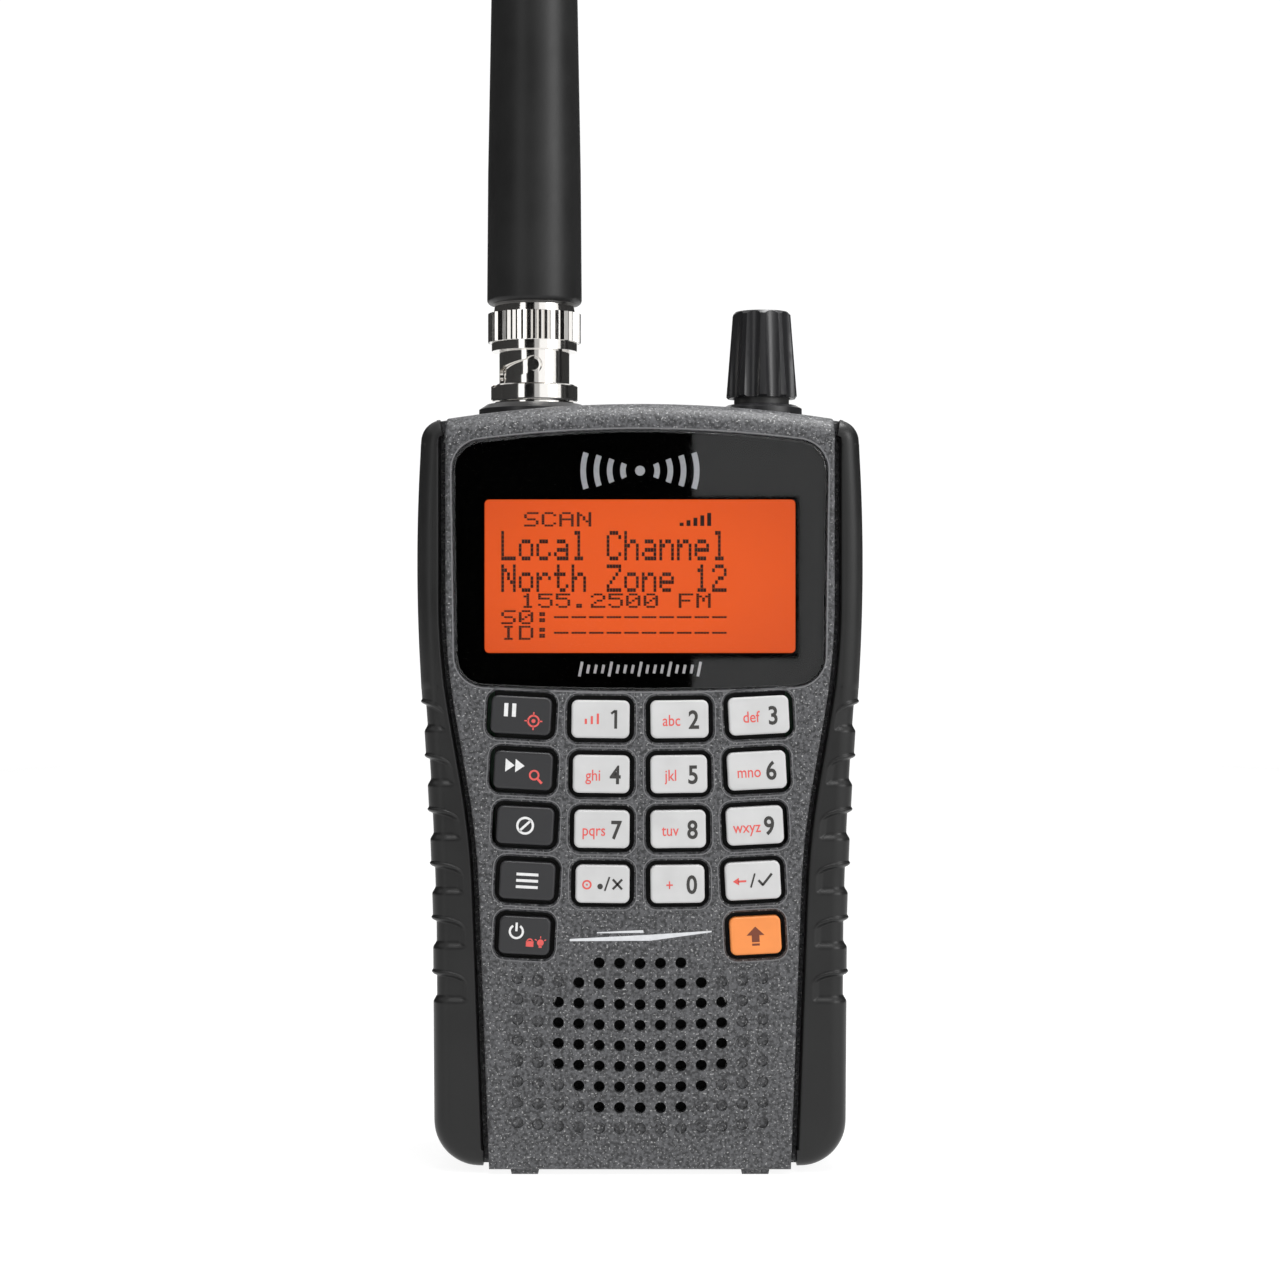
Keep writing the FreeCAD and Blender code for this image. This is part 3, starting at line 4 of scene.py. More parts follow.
import bmesh
import bpy
from mathutils import Matrix, Vector


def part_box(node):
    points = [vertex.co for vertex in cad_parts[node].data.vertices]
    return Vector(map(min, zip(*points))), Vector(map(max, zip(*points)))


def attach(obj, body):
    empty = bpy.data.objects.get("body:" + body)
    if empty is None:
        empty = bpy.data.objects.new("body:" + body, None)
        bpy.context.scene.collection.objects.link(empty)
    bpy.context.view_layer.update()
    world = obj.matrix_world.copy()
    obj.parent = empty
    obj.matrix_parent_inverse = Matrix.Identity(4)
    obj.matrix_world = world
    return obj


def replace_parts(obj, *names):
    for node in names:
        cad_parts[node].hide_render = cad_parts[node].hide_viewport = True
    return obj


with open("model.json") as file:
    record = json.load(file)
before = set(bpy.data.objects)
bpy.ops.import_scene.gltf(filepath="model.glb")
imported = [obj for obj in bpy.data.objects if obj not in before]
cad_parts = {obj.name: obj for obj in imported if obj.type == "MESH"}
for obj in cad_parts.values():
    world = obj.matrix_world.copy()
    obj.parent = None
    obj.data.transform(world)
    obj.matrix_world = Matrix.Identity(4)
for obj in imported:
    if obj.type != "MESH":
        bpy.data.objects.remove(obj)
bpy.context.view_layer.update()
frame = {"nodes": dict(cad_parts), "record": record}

MM = 0.001
nodes = frame["nodes"]
slot_of = {part["node"]: part["material_slot"] for part in frame["record"]["subparts"]}


# --- camera, floor and light ------------------------------------------------------


def aim(thing, place, target):
    thing.location = place
    thing.rotation_euler = (Vector(target) - Vector(place)).to_track_quat("-Z", "Y").to_euler()


def add_object(name, data):
    thing = bpy.data.objects.new(name, data)
    bpy.context.scene.collection.objects.link(thing)
    return thing


def make_camera():
    """Level, straight in front of the display, near enough to show some perspective."""
    eye_distance, eye_height = 0.415, 0.0807
    camera = add_object("camera", bpy.data.cameras.new("camera"))
    eye = (0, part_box("front_case")[0].y - eye_distance, eye_height)
    aim(camera, eye, (0, 0, eye_height))
    camera.data.sensor_width = 36
    camera.data.lens = 77.4
    bpy.context.scene.camera = camera


def area_light(name, place, target, wide, tall, power):
    data = bpy.data.lights.new(name, "AREA")
    data.shape = "RECTANGLE"
    data.size = wide
    data.size_y = tall
    data.energy = power
    aim(add_object(name, data), place, target)


def glowing(name, shade, roughness, gloss, strength):
    """A grey material that gives off white light of its own."""
    paint = bpy.data.materials.new(name)
    paint.use_nodes = True
    shader = paint.node_tree.nodes["Principled BSDF"]
    shader.inputs["Base Color"].default_value = (shade, shade, shade, 1)
    shader.inputs["Roughness"].default_value = roughness
    shader.inputs["Specular IOR Level"].default_value = gloss
    shader.inputs["Emission Color"].default_value = (1, 1, 1, 1)
    shader.inputs["Emission Strength"].default_value = strength
    return paint


def card(name, start, end, low, high, glow):
    """An upright studio card between two places on the floor plan.

    It shows in reflections and lights the object, but the camera never sees it.
    """
    corners = [(*start, low), (*end, low), (*end, high), (*start, high)]
    mesh = bpy.data.meshes.new(name)
    mesh.from_pydata(corners, [], [(0, 1, 2, 3)])
    mesh.materials.append(glowing(name, 0.002, 0.5, 0, glow))
    panel = add_object(name, mesh)
    panel.visible_camera = False
    panel.visible_shadow = False


def around(turn, distance=1.4):
    """Place on the floor plan: degrees to the right of the camera, seen from the object."""
    return (distance * math.sin(math.radians(turn)), -distance * math.cos(math.radians(turn)))


def make_studio():
    """A pale round room that lights the object softly, with two lamps and a ring of cards."""
    world = bpy.data.worlds.new("studio")
    bpy.context.scene.world = world
    world.use_nodes = True
    sky = world.node_tree.nodes["Background"]
    sky.inputs["Color"].default_value = (1, 1, 1, 1)
    sky.inputs["Strength"].default_value = 0.6

    middle = (0, 0, 0.1)
    area_light("top_box", (0.1, -0.06, 0.7), middle, 0.5, 0.25, 4.6)
    area_light("right_box", (0.42, -0.34, 0.32), middle, 0.25, 0.3, 1.1)
    make_cards()
    make_room()
    bpy.context.scene.view_settings.view_transform = "Standard"


def make_cards():
    """Black and white cards round the front, which draw the streaks on the bright metal.

    The screen mirrors the gap left in the grey card, so that it stays even.
    """
    low, high = -0.4, 1.0
    split = around(1.42)
    grey_end = around(15)
    screen_low, screen_high, screen_end = 0.0685, 0.1748, around(4.25)
    grey, white, softbox, shade = 0.55, 1.5, 1.2, 0.035
    card("black_card_left", around(-95), around(-41), low, high, shade)
    card("black_card_far_left", around(-165), around(-95), low, high, shade)
    card("white_strip", around(-41), around(-25), low, high, white)
    card("black_card", around(-25), split, low, high, 0)
    card("grey_card_low", split, grey_end, low, screen_low, grey)
    card("grey_card_high", split, grey_end, screen_high, high, grey)
    card("black_card_screen", split, screen_end, screen_low, screen_high, 0)
    card("grey_card_side", screen_end, grey_end, screen_low, screen_high, grey)
    card("softbox", grey_end, around(76), low, high, softbox)
    card("black_card_right", around(76), around(120), low, high, shade)
    card("black_card_far_right", around(120), around(165), low, high, shade)


def make_room():
    """Floor that sweeps up into a wall all round, so that no view has a sharp horizon."""
    floor_radius, sweep, wall_top = 2.2, 0.7, 3.0
    floor_rings, ring_gap, sweep_steps, sides = 7, 0.3, 12, 64
    profile = [(ring_gap * ring, 0.0) for ring in range(1, floor_rings + 1)]
    for step in range(1, sweep_steps + 1):
        turn = math.radians(90 * step / sweep_steps)
        profile.append((floor_radius + sweep * math.sin(turn), sweep * (1 - math.cos(turn))))
    profile.append((floor_radius + sweep, wall_top))
    corners = [(0, 0, 0)]
    for radius, up in profile:
        for side in range(sides):
            turn = math.tau * side / sides
            corners.append((radius * math.cos(turn), radius * math.sin(turn), up))
    faces = [(0, 1 + side, 1 + (side + 1) % sides) for side in range(sides)]
    for ring in range(len(profile) - 1):
        near, far = 1 + ring * sides, 1 + (ring + 1) * sides
        for side in range(sides):
            after = (side + 1) % sides
            faces.append((near + side, far + side, far + after, near + after))
    mesh = bpy.data.meshes.new("room")
    mesh.from_pydata(corners, [], faces)
    mesh.shade_smooth()
    mesh.materials.append(glowing("room", 0.16, 0.9, 0.1, 0.9))
    add_object("room", mesh)


# --- materials ----------------------------------------------------------------------

# Sockets of the Mix node when it mixes colours.
MIX_FACTOR, MIX_FIRST, MIX_SECOND, MIX_RESULT = 0, 6, 7, 2


class Finish:
    """A procedural material built up around one Principled shader."""

    def __init__(self, name, colour, roughness, metallic=0.0, **sockets):
        self.material = bpy.data.materials.new(name)
        self.material.use_nodes = True
        self.nodes = self.material.node_tree.nodes
        self.links = self.material.node_tree.links
        self.shader = self.nodes["Principled BSDF"]
        self.shader.inputs["Base Color"].default_value = (*colour, 1)
        self.shader.inputs["Roughness"].default_value = roughness
        self.shader.inputs["Metallic"].default_value = metallic
        for socket, value in sockets.items():
            self.shader.inputs[socket.replace("_", " ")].default_value = value
        self.place = self.nodes.new("ShaderNodeTexCoord").outputs["Object"]
        self.height = None

    def node(self, kind, **values):
        made = self.nodes.new(kind)
        for socket, value in values.items():
            made.inputs[socket.replace("_", " ")].default_value = value
        return made

    def noise(self, size, detail=3.0, stretch=None):
        """Noise whose blobs are about size metres across."""
        made = self.node("ShaderNodeTexNoise", Scale=1 / size, Detail=detail)
        place = self.place
        if stretch:
            mapping = self.node("ShaderNodeMapping", Scale=stretch)
            self.links.new(place, mapping.inputs["Vector"])
            place = mapping.outputs["Vector"]
        self.links.new(place, made.inputs["Vector"])
        return made.outputs["Fac"]

    def cells(self, size):
        made = self.node("ShaderNodeTexVoronoi", Scale=1 / size)
        self.links.new(self.place, made.inputs["Vector"])
        return made.outputs["Distance"]

    def ramp(self, source, stops):
        """A colour ramp: stops are (position, colour or grey)."""
        made = self.nodes.new("ShaderNodeValToRGB")
        elements = made.color_ramp.elements
        while len(elements) < len(stops):
            elements.new(0.5)
        for element, (position, colour) in zip(elements, stops):
            element.position = position
            shade = colour if isinstance(colour, tuple) else (colour,) * 3
            element.color = (*shade, 1)
        self.links.new(source, made.inputs["Fac"])
        return made.outputs["Color"]

    def mix(self, factor, colour, grey):
        """A colour that gives way to a plain grey by a factor."""
        made = self.nodes.new("ShaderNodeMix")
        made.data_type = "RGBA"
        self.links.new(factor, made.inputs[MIX_FACTOR])
        self.links.new(colour, made.inputs[MIX_FIRST])
        made.inputs[MIX_SECOND].default_value = (grey, grey, grey, 1)
        return made.outputs[MIX_RESULT]

    def colour(self, source):
        self.links.new(source, self.shader.inputs["Base Color"])

    def rough(self, source, low, high):
        made = self.node("ShaderNodeMapRange", To_Min=low, To_Max=high)
        self.links.new(source, made.inputs["Value"])
        self.links.new(made.outputs["Result"], self.shader.inputs["Roughness"])

    def bump(self, source, depth, strength):
        made = self.node("ShaderNodeBump", Strength=strength, Distance=depth)
        self.links.new(source, made.inputs["Height"])
        if self.height:
            self.links.new(self.height, made.inputs["Normal"])
        self.height = made.outputs["Normal"]
        self.links.new(self.height, self.shader.inputs["Normal"])


def spark_plastic(name, dark, light, painted_glint):
    """Moulded plastic with a coarse spark-eroded grain, and sparse bright specks painted into its
    colour as glints of light.
    """
    finish = Finish(name, dark, 0.5)
    grain = finish.noise(0.0005, 5.0)
    base = finish.ramp(grain, [(0.4, dark), (0.58, light)])
    # painted glints: sparse bright specks mixed into the colour of the grain
    painted_glint_specks = finish.ramp(finish.noise(0.00032, 1.0), [(0.62, 0.0), (0.72, 1.0)])
    finish.colour(finish.mix(painted_glint_specks, base, painted_glint))
    finish.rough(finish.noise(0.004), 0.42, 0.56)
    finish.bump(grain, 0.00009, 0.7)
    finish.bump(finish.cells(0.0005), 0.00004, 0.4)
    return finish.material


def soft_rubber(name, shade, low, high, gloss=0.5):
    finish = Finish(name, (shade,) * 3, (low + high) / 2, Specular_IOR_Level=gloss)
    finish.colour(finish.ramp(finish.noise(0.012), [(0.3, shade * 0.85), (0.7, shade * 1.25)]))
    finish.rough(finish.noise(0.003, 5.0), low, high)
    finish.bump(finish.noise(0.00012, 2.0), 0.000015, 0.5)
    return finish.material


def bright_nickel(name, colour, low, high):
    finish = Finish(name, colour, low, metallic=1.0)
    finish.rough(finish.noise(0.0015, 5.0), low, high)
    finish.bump(finish.noise(0.0008, 2.0, stretch=(1, 1, 0.15)), 0.00001, 0.35)
    return finish.material


def moulded(name, colour, low, high):
    """Hard plastic with a faint grain and slightly uneven gloss."""
    finish = Finish(name, colour, (low + high) / 2)
    lighter = tuple(min(1.0, part * 1.12) for part in colour)
    finish.colour(finish.ramp(finish.noise(0.005), [(0.3, colour), (0.7, lighter)]))
    finish.rough(finish.noise(0.0015, 4.0), low, high)
    finish.bump(finish.noise(0.00015, 2.0), 0.00001, 0.4)
    return finish.material


def printed(name, colour, roughness=0.5, gloss=0.5):
    finish = Finish(name, colour, roughness, Specular_IOR_Level=gloss)
    darker = tuple(part * 0.9 for part in colour)
    finish.colour(finish.ramp(finish.noise(0.0006), [(0.35, darker), (0.65, colour)]))
    finish.bump(finish.noise(0.0001, 2.0), 0.000005, 0.3)
    return finish.material


def clear_lens():
    finish = Finish("lens_acrylic", (0.93, 0.94, 0.95), 0.015, Transmission_Weight=1.0, IOR=1.49)
    finish.rough(finish.noise(0.006, 5.0), 0.008, 0.03)
    return finish.material


def lit_screen():
    """Backlit display: nearly even orange, with painted shade that dims it towards its edges, where
    the mask would shade it.
    """
    # the edge colour is the backlight glow dimmed by painted shade from the mask
    shaded_edge_glow, heart_glow = (0.66, 0.07, 0.004), (0.84, 0.10, 0.006)
    finish = Finish("lcd_glow", (0.08, 0.01, 0.004), 0.4)
    low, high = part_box("lcd_panel")
    middle = (low + high) / 2
    half = high - middle
    place = finish.place
    for values in ({"Location": -middle}, {"Scale": (1 / half.x, 0, 1 / half.z)},
                   {"Scale": (0.6, 0.6, 0.6)}):
        mapping = finish.node("ShaderNodeMapping", **values)
        finish.links.new(place, mapping.inputs["Vector"])
        place = mapping.outputs["Vector"]
    ball = finish.nodes.new("ShaderNodeTexGradient")
    ball.gradient_type = "SPHERICAL"
    finish.links.new(place, ball.inputs["Vector"])
    glow = finish.ramp(ball.outputs["Fac"], [(0.0, shaded_edge_glow), (0.6, heart_glow)])
    finish.links.new(glow, finish.shader.inputs["Emission Color"])
    finish.shader.inputs["Emission Strength"].default_value = 1.0
    finish.bump(finish.noise(0.0002), 0.000005, 0.2)
    return finish.material


def make_materials():
    """Materials by name: a recipe is the function that makes it, then its values."""
    black = (0.011, 0.011, 0.012)
    case_dark, case_light = (0.020, 0.0205, 0.022), (0.080, 0.081, 0.086)
    recipes = {
        # the last value is the grey of the painted glints
        "case_plastic": (spark_plastic, case_dark, case_light, 0.3),
        "grip_rubber": (soft_rubber, 0.009, 0.3, 0.42, 0.34),
        "mask": (printed, (0.001, 0.001, 0.001), 0.6, 0),
        "light_guide": (moulded, (0.8, 0.8, 0.78), 0.2, 0.3),
        "mat_rubber": (soft_rubber, 0.006, 0.6, 0.75),
        "spring_steel": (bright_nickel, (0.55, 0.55, 0.56), 0.2, 0.32),
        "circuit_board": (moulded, (0.01, 0.09, 0.035), 0.3, 0.45),
        "tinned_steel": (bright_nickel, (0.6, 0.6, 0.6), 0.3, 0.45),
        "connector_plastic": (moulded, (0.015, 0.015, 0.015), 0.35, 0.5),
        "speaker_cloth": (soft_rubber, 0.004, 0.8, 0.95),
        "cone_paper": (soft_rubber, 0.02, 0.8, 0.95),
        "brass": (bright_nickel, (0.72, 0.5, 0.2), 0.2, 0.35),
        "cell_label": (moulded, (0.1, 0.25, 0.16), 0.25, 0.35),
        "ring_plastic": (moulded, black, 0.25, 0.38),
        "nickel": (bright_nickel, (0.80, 0.78, 0.75), 0.06, 0.14),
        "insulator": (moulded, (0.8, 0.79, 0.75), 0.35, 0.45),
        "core_plastic": (moulded, (0.3, 0.3, 0.3), 0.4, 0.5),
        "antenna_rubber": (soft_rubber, 0.010, 0.33, 0.46, 0.3),
        "knob_plastic": (moulded, black, 0.24, 0.36),
        "key_dark": (moulded, (0.013, 0.013, 0.0145), 0.4, 0.5),
        "key_light": (moulded, (0.48, 0.48, 0.48), 0.4, 0.5),
        "key_function": (moulded, (0.70, 0.22, 0.05), 0.4, 0.5),
        "ink_dark": (printed, (0.03, 0.028, 0.026)),
        "ink_red": (printed, (0.66, 0.09, 0.08)),
        "ink_white": (printed, (0.7, 0.7, 0.7)),
        "ink_brown": (printed, (0.16, 0.035, 0.012)),
        "lcd_dot": (printed, (0.018, 0.004, 0.002), 0.6),
        "ink_silver": (printed, (0.62, 0.63, 0.65), 0.3),
        # painted highlight: light grey for the rims round the key wells and the lens recess, where
        # their rounded edges would catch the light
        "case_edge": (printed, (0.15, 0.15, 0.156), 0.4),
    }
    finishes = {name: make(name, *values) for name, (make, *values) in recipes.items()}
    finishes["lens"] = clear_lens()
    finishes["lcd"] = lit_screen()
    return finishes


def finish_nodes(finishes):
    """Every node takes the finish of its material slot in the record."""
    for name, node in nodes.items():
        node.data.materials.clear()
        node.data.materials.append(finishes[slot_of[name]])


# --- printing -------------------------------------------------------------------------

INK_THICK = 0.02 * MM
# Share of its size that a capital of the built-in lettering is tall.
CAPITAL_SHARE = 0.729


class Print:
    """Ink on a surface that faces the front: thin closed slabs, laid out in mm."""

    def __init__(self):
        self.mesh = bmesh.new()
        self.inks = []

    def ink(self, name):
        if name not in self.inks:
            self.inks.append(name)
        return self.inks.index(name)

    def strip(self, outer, inner, ink, closed=False):
        """A slab between two runs of points of the same length."""
        index = self.ink(ink)
        rows = []
        for depth in (-INK_THICK, 0):
            rows.append([[self.mesh.verts.new((x * MM, depth, z * MM)) for x, z in run]
                         for run in (outer, inner)])
        (front_out, front_in), (back_out, back_in) = rows
        count = len(outer)
        faces = []
        for place in range(count if closed else count - 1):
            after = (place + 1) % count
            faces.append((front_out[place], front_out[after], front_in[after], front_in[place]))
            faces.append((back_in[place], back_in[after], back_out[after], back_out[place]))
            faces.append((back_out[place], back_out[after], front_out[after], front_out[place]))
            faces.append((front_in[place], front_in[after], back_in[after], back_in[place]))
        if not closed:
            faces.append((front_in[0], back_in[0], back_out[0], front_out[0]))
            faces.append((front_out[-1], back_out[-1], back_in[-1], front_in[-1]))
        for corners in faces:
            self.mesh.faces.new(corners).material_index = index

    def ring(self, x, z, outer, inner, ink, start=0, sweep=360):
        """A ring or an arc of one, in straight steps of about 12 degrees."""
        steps = max(6, int(sweep / 12))
        closed = sweep == 360
        turns = [math.radians(start + sweep * step / steps) for step in range(steps + (not closed))]
        runs = [[(x + radius * math.cos(turn), z + radius * math.sin(turn)) for turn in turns]
                for radius in (outer, inner)]
        self.strip(*runs, ink, closed)

    def dot(self, x, z, radius, ink):
        """A disc, with a hole too small to show."""
        self.ring(x, z, radius, radius * 0.02, ink)

    def bar(self, start, end, wide, ink, end_wide=None):
        """A straight stroke, which may taper."""
        along = Vector((end[0] - start[0], end[1] - start[1])).normalized()
        near = Vector((-along.y, along.x)) * wide / 2
        far = near if end_wide is None else Vector((-along.y, along.x)) * end_wide / 2
        outer = [(start[0] + near.x, start[1] + near.y), (end[0] + far.x, end[1] + far.y)]
        inner = [(start[0] - near.x, start[1] - near.y), (end[0] - far.x, end[1] - far.y)]
        self.strip(inner, outer, ink)

    def box(self, x, z, wide, tall, ink):
        self.bar((x - wide / 2, z), (x + wide / 2, z), tall, ink)

    def text(self, words, x, z, capital, ink, squeeze, weight):
        """Plain lettering with capitals of this height, centred on x and z."""
        curve = bpy.data.curves.new("lettering", "FONT")
        curve.body = words
        curve.align_x = "CENTER"
        curve.extrude = 0.5
        curve.offset = weight
        curve.resolution_u = 4
        holder = add_object("lettering", curve)
        bpy.context.view_layer.update()
        outline = bpy.data.meshes.new_from_object(holder.evaluated_get(
            bpy.context.evaluated_depsgraph_get()))
        bpy.data.objects.remove(holder)
        size = capital / CAPITAL_SHARE
        place = (Matrix.Translation((x * MM, -INK_THICK / 2, (z - capital / 2) * MM))
                 @ Matrix.Rotation(math.radians(90), 4, "X")
                 @ Matrix.Diagonal((size * squeeze * MM, size * MM, INK_THICK, 1)))
        outline.transform(place)
        first = len(self.mesh.faces)
        self.mesh.from_mesh(outline)
        bpy.data.meshes.remove(outline)
        self.mesh.faces.ensure_lookup_table()
        index = self.ink(ink)
        for face in self.mesh.faces[first:]:
            face.material_index = index

    def piece(self, name, surface, centre, tilt, body, slot):
        """Make the print a piece: surface is the y and centre the x and z it lies at, in metres."""
        data = bpy.data.meshes.new(name)
        bmesh.ops.recalc_face_normals(self.mesh, faces=self.mesh.faces)
        self.mesh.to_mesh(data)
        self.mesh.free()
        data.transform(Matrix.Translation((centre[0], surface, centre[1]))
                       @ Matrix.Rotation(-math.radians(tilt), 4, "Y"))
        for ink in self.inks:
            data.materials.append(finishes[ink])
        made = add_object(name, data)
        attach(made, body)
        return made


# --- display --------------------------------------------------------------------------

# Dot-matrix letters, five dots wide and seven tall, row by row.
GLYPHS = {
    "0": "01110 10001 10011 10101 11001 10001 01110",
    "1": "00100 01100 00100 00100 00100 00100 01110",
    "2": "01110 10001 00001 00110 01000 10000 11111",
    "5": "11111 10000 11110 00001 00001 10001 01110",
    "A": "01110 10001 10001 11111 10001 10001 10001",
    "C": "01110 10001 10000 10000 10000 10001 01110",
    "D": "11110 10001 10001 10001 10001 10001 11110",
    "F": "11111 10000 10000 11110 10000 10000 10000",
    "I": "01110 00100 00100 00100 00100 00100 01110",
    "L": "10000 10000 10000 10000 10000 10000 11111",
    "M": "10001 11011 10101 10101 10001 10001 10001",
    "N": "10001 11001 10101 10101 10011 10001 10001",
    "S": "01111 10000 10000 01110 00001 00001 11110",
    "Z": "11111 00001 00010 00100 01000 10000 11111",
    "a": "00000 00000 01110 00001 01111 10001 01111",
    "c": "00000 00000 01110 10000 10000 10001 01110",
    "e": "00000 00000 01110 10001 11111 10000 01110",
    "h": "10000 10000 10110 11001 10001 10001 10001",
    "l": "01100 00100 00100 00100 00100 00100 01110",
    "n": "00000 00000 10110 11001 10001 10001 10001",
    "o": "00000 00000 01110 10001 10001 10001 01110",
    "r": "00000 00000 10110 11001 10000 10000 10000",
    "t": "01000 01000 11110 01000 01000 01001 00110",
    ".": "00000 00000 00000 00000 00000 01100 01100",
    ":": "00000 01100 01100 00000 01100 01100 00000",
    "-": "00000 00000 00000 11111 00000 00000 00000",
    " ": "00000 00000 00000 00000 00000 00000 00000",
}
# Lines of the display: words, first column, top in mm above the middle, dot height in mm.
LINES = [
    ("SCAN", 1.3, 9.7, 0.314),
    ("Local Channel", 0, 6.87, 0.643),
    ("North Zone 12", 0, 1.8, 0.6),
    ("155.2500 FM", 1.1, -2.6, 0.314),
    ("S0:----------", 0, -5.13, 0.304),
    ("ID:----------", 0, -7.5, 0.304),
]
TEXT_LEFT = -21.0
DOT_WIDE, DOTS_PER_LETTER = 0.443, 6
# Share of its place that a dot fills, across and up.
DOT_FILL = (0.94, 0.93)


def draw_glyph(ink, letter, column, top, dot_tall):
    for row, dots in enumerate(GLYPHS[letter].split()):
        z = top - (row + 0.5) * dot_tall
        for across, dot in enumerate(dots):
            if dot == "1":
                x = TEXT_LEFT + (column * DOTS_PER_LETTER + across + 0.5) * DOT_WIDE
                ink.box(x, z, DOT_WIDE * DOT_FILL[0], dot_tall * DOT_FILL[1], "lcd_dot")


def draw_signal_bars(ink):
    left, foot, pitch, wide = 6.3, 7.6, 1.04, 0.6
    for bar in range(5):
        tall = 0.5 + 0.37 * bar
        ink.box(left + bar * pitch, foot + tall / 2, wide, tall, "lcd_dot")


def make_display_text():
    """Dark dots of the display, just in front of the panel."""
    low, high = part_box("lcd_panel")
    middle = (low + high) / 2
    ink = Print()
    for words, column, top, dot_tall in LINES:
        for place, letter in enumerate(words):
            draw_glyph(ink, letter, column + place, top, dot_tall)
    draw_signal_bars(ink)
    ink.piece("lcd_dots", low.y - INK_THICK, (middle.x, middle.z), 0, "case", "lcd")


def make_lens_marks():
    """Silver wave mark over the display and a tuning scale under it.

    They stand proud of the mask by less than the gap behind the lens.
    """
    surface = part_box("lens_mask")[0].y + 0.6 * INK_THICK
    half_stroke = 0.42
    ink = Print()
    ink.dot(0, 0, 0.75, "ink_silver")
    for radius in (2.6, 4.6, 6.6, 8.6):
        reach = 27 - radius
        for facing in (0, 180):
            ink.ring(0, 0, radius + half_stroke, radius - half_stroke, "ink_silver",
                     facing - reach, 2 * reach)
    ink.piece("wave_mark", surface, (0, 106.3 * MM), 0, "case", "mask")

    ticks, pitch, slant = 17, 1.12, 0.1
    scale = Print()
    for tick in range(ticks):
        tall = 2.2 if tick % 4 == 0 else 1.3
        x = (tick - ticks // 2) * pitch
        scale.bar((x - tall * slant, -tall / 2), (x + tall * slant, tall / 2), 0.42, "ink_white")
    scale.piece("tuning_scale", surface, (0, 76.3 * MM), 0, "case", "mask")


# --- legends of the keys ------------------------------------------------------------------

DIGITS = {"key_1": ("1", ""), "key_2": ("2", "abc"), "key_3": ("3", "def"), "key_4": ("4", "ghi"),
          "key_5": ("5", "jkl"), "key_6": ("6", "mno"), "key_7": ("7", "pqrs"),
          "key_8": ("8", "tuv"), "key_9": ("9", "wxyz"), "key_0": ("0", "+")}


def draw_digit(ink, digit, letters):
    if digit == "1":
        ink.bar((2.3, -1.4), (2.3, 1.4), 0.44, "ink_dark")
        ink.bar((2.2, 1.3), (1.6, 0.85), 0.36, "ink_dark")
    else:
        ink.text(digit, 2.15, 0, 2.8, "ink_dark", 0.86, 0.022)
    if letters:
        ink.text(letters, -1.2, -0.1, 1.75, "ink_red", 0.84, 0.006)
    else:
        for place in range(3):
            x = -2.2 + place * 0.9
            ink.bar((x, -0.75), (x, 0.05 + place * 0.4), 0.34, "ink_red")


def draw_rays(ink, x, z, turns, reach, wide):
    """Short red strokes away from a centre, between two distances from it."""
    for turn in turns:
        arm = (math.cos(math.radians(turn)), math.sin(math.radians(turn)))
        start, end = [(x + arm[0] * far, z + arm[1] * far) for far in reach]
        ink.bar(start, end, wide, "ink_red")


def draw_pause(ink):
    for x in (-2.3, -1.1):
        ink.box(x, 0.75, 0.6, 2.0, "ink_white")
    x, z = 1.9, -0.75
    ink.ring(x, z, 0.95, 0.68, "ink_red")
    ink.dot(x, z, 0.3, "ink_red")
    draw_rays(ink, x, z, (0, 90, 180, 270), (0.85, 1.35), 0.2)


def draw_forward(ink):
    for x in (-2.7, -1.2):
        ink.bar((x, 0.7), (x + 1.35, 0.7), 2.0, "ink_white", 0.04)
    ink.ring(1.7, -0.6, 0.8, 0.52, "ink_red")
    ink.bar((2.25, -1.15), (2.9, -1.8), 0.36, "ink_red")


def draw_barred(ink):
    ink.ring(0, 0, 1.35, 1.0, "ink_white")
    ink.bar((-0.8, -0.8), (0.8, 0.8), 0.36, "ink_white")


def draw_lines(ink):
    for z in (-0.95, 0, 0.95):
        ink.box(0, z, 3.3, 0.42, "ink_white")


def draw_power(ink):
    ink.ring(-1.25, 0.55, 1.15, 0.82, "ink_white", 122, 296)
    ink.box(-1.25, 1.25, 0.34, 1.3, "ink_white")
    ink.box(0.85, -1.2, 1.15, 0.85, "ink_red")
    ink.ring(0.85, -0.85, 0.48, 0.28, "ink_red", 0, 180)
    ink.dot(2.45, -0.95, 0.5, "ink_red")
    ink.box(2.45, -1.55, 0.45, 0.34, "ink_red")
    draw_rays(ink, 2.45, -0.95, (30, 90, 150), (0.65, 0.98), 0.15)


def draw_cancel(ink):
    ink.dot(-0.35, -0.35, 0.42, "ink_dark")
    ink.bar((0.35, -1.0), (1.05, 1.1), 0.26, "ink_dark")
    for side in (-1, 1):
        ink.bar((1.55, -0.75 * side), (2.95, 0.75 * side), 0.34, "ink_dark")
    ink.ring(-2.35, -0.1, 0.72, 0.46, "ink_red")
    ink.box(-2.35, -0.1, 0.28, 0.28, "ink_red")


def draw_accept(ink):
    ink.bar((0.85, 0.05), (1.5, -0.75), 0.36, "ink_dark")
    ink.bar((1.42, -0.75), (2.9, 0.95), 0.36, "ink_dark")
    ink.bar((-0.35, -1.0), (0.35, 1.1), 0.26, "ink_dark")
    ink.bar((-2.2, 0), (-1.0, 0), 0.3, "ink_red")
    ink.bar((-2.1, 0), (-3.0, 0), 1.15, "ink_red", 0.04)


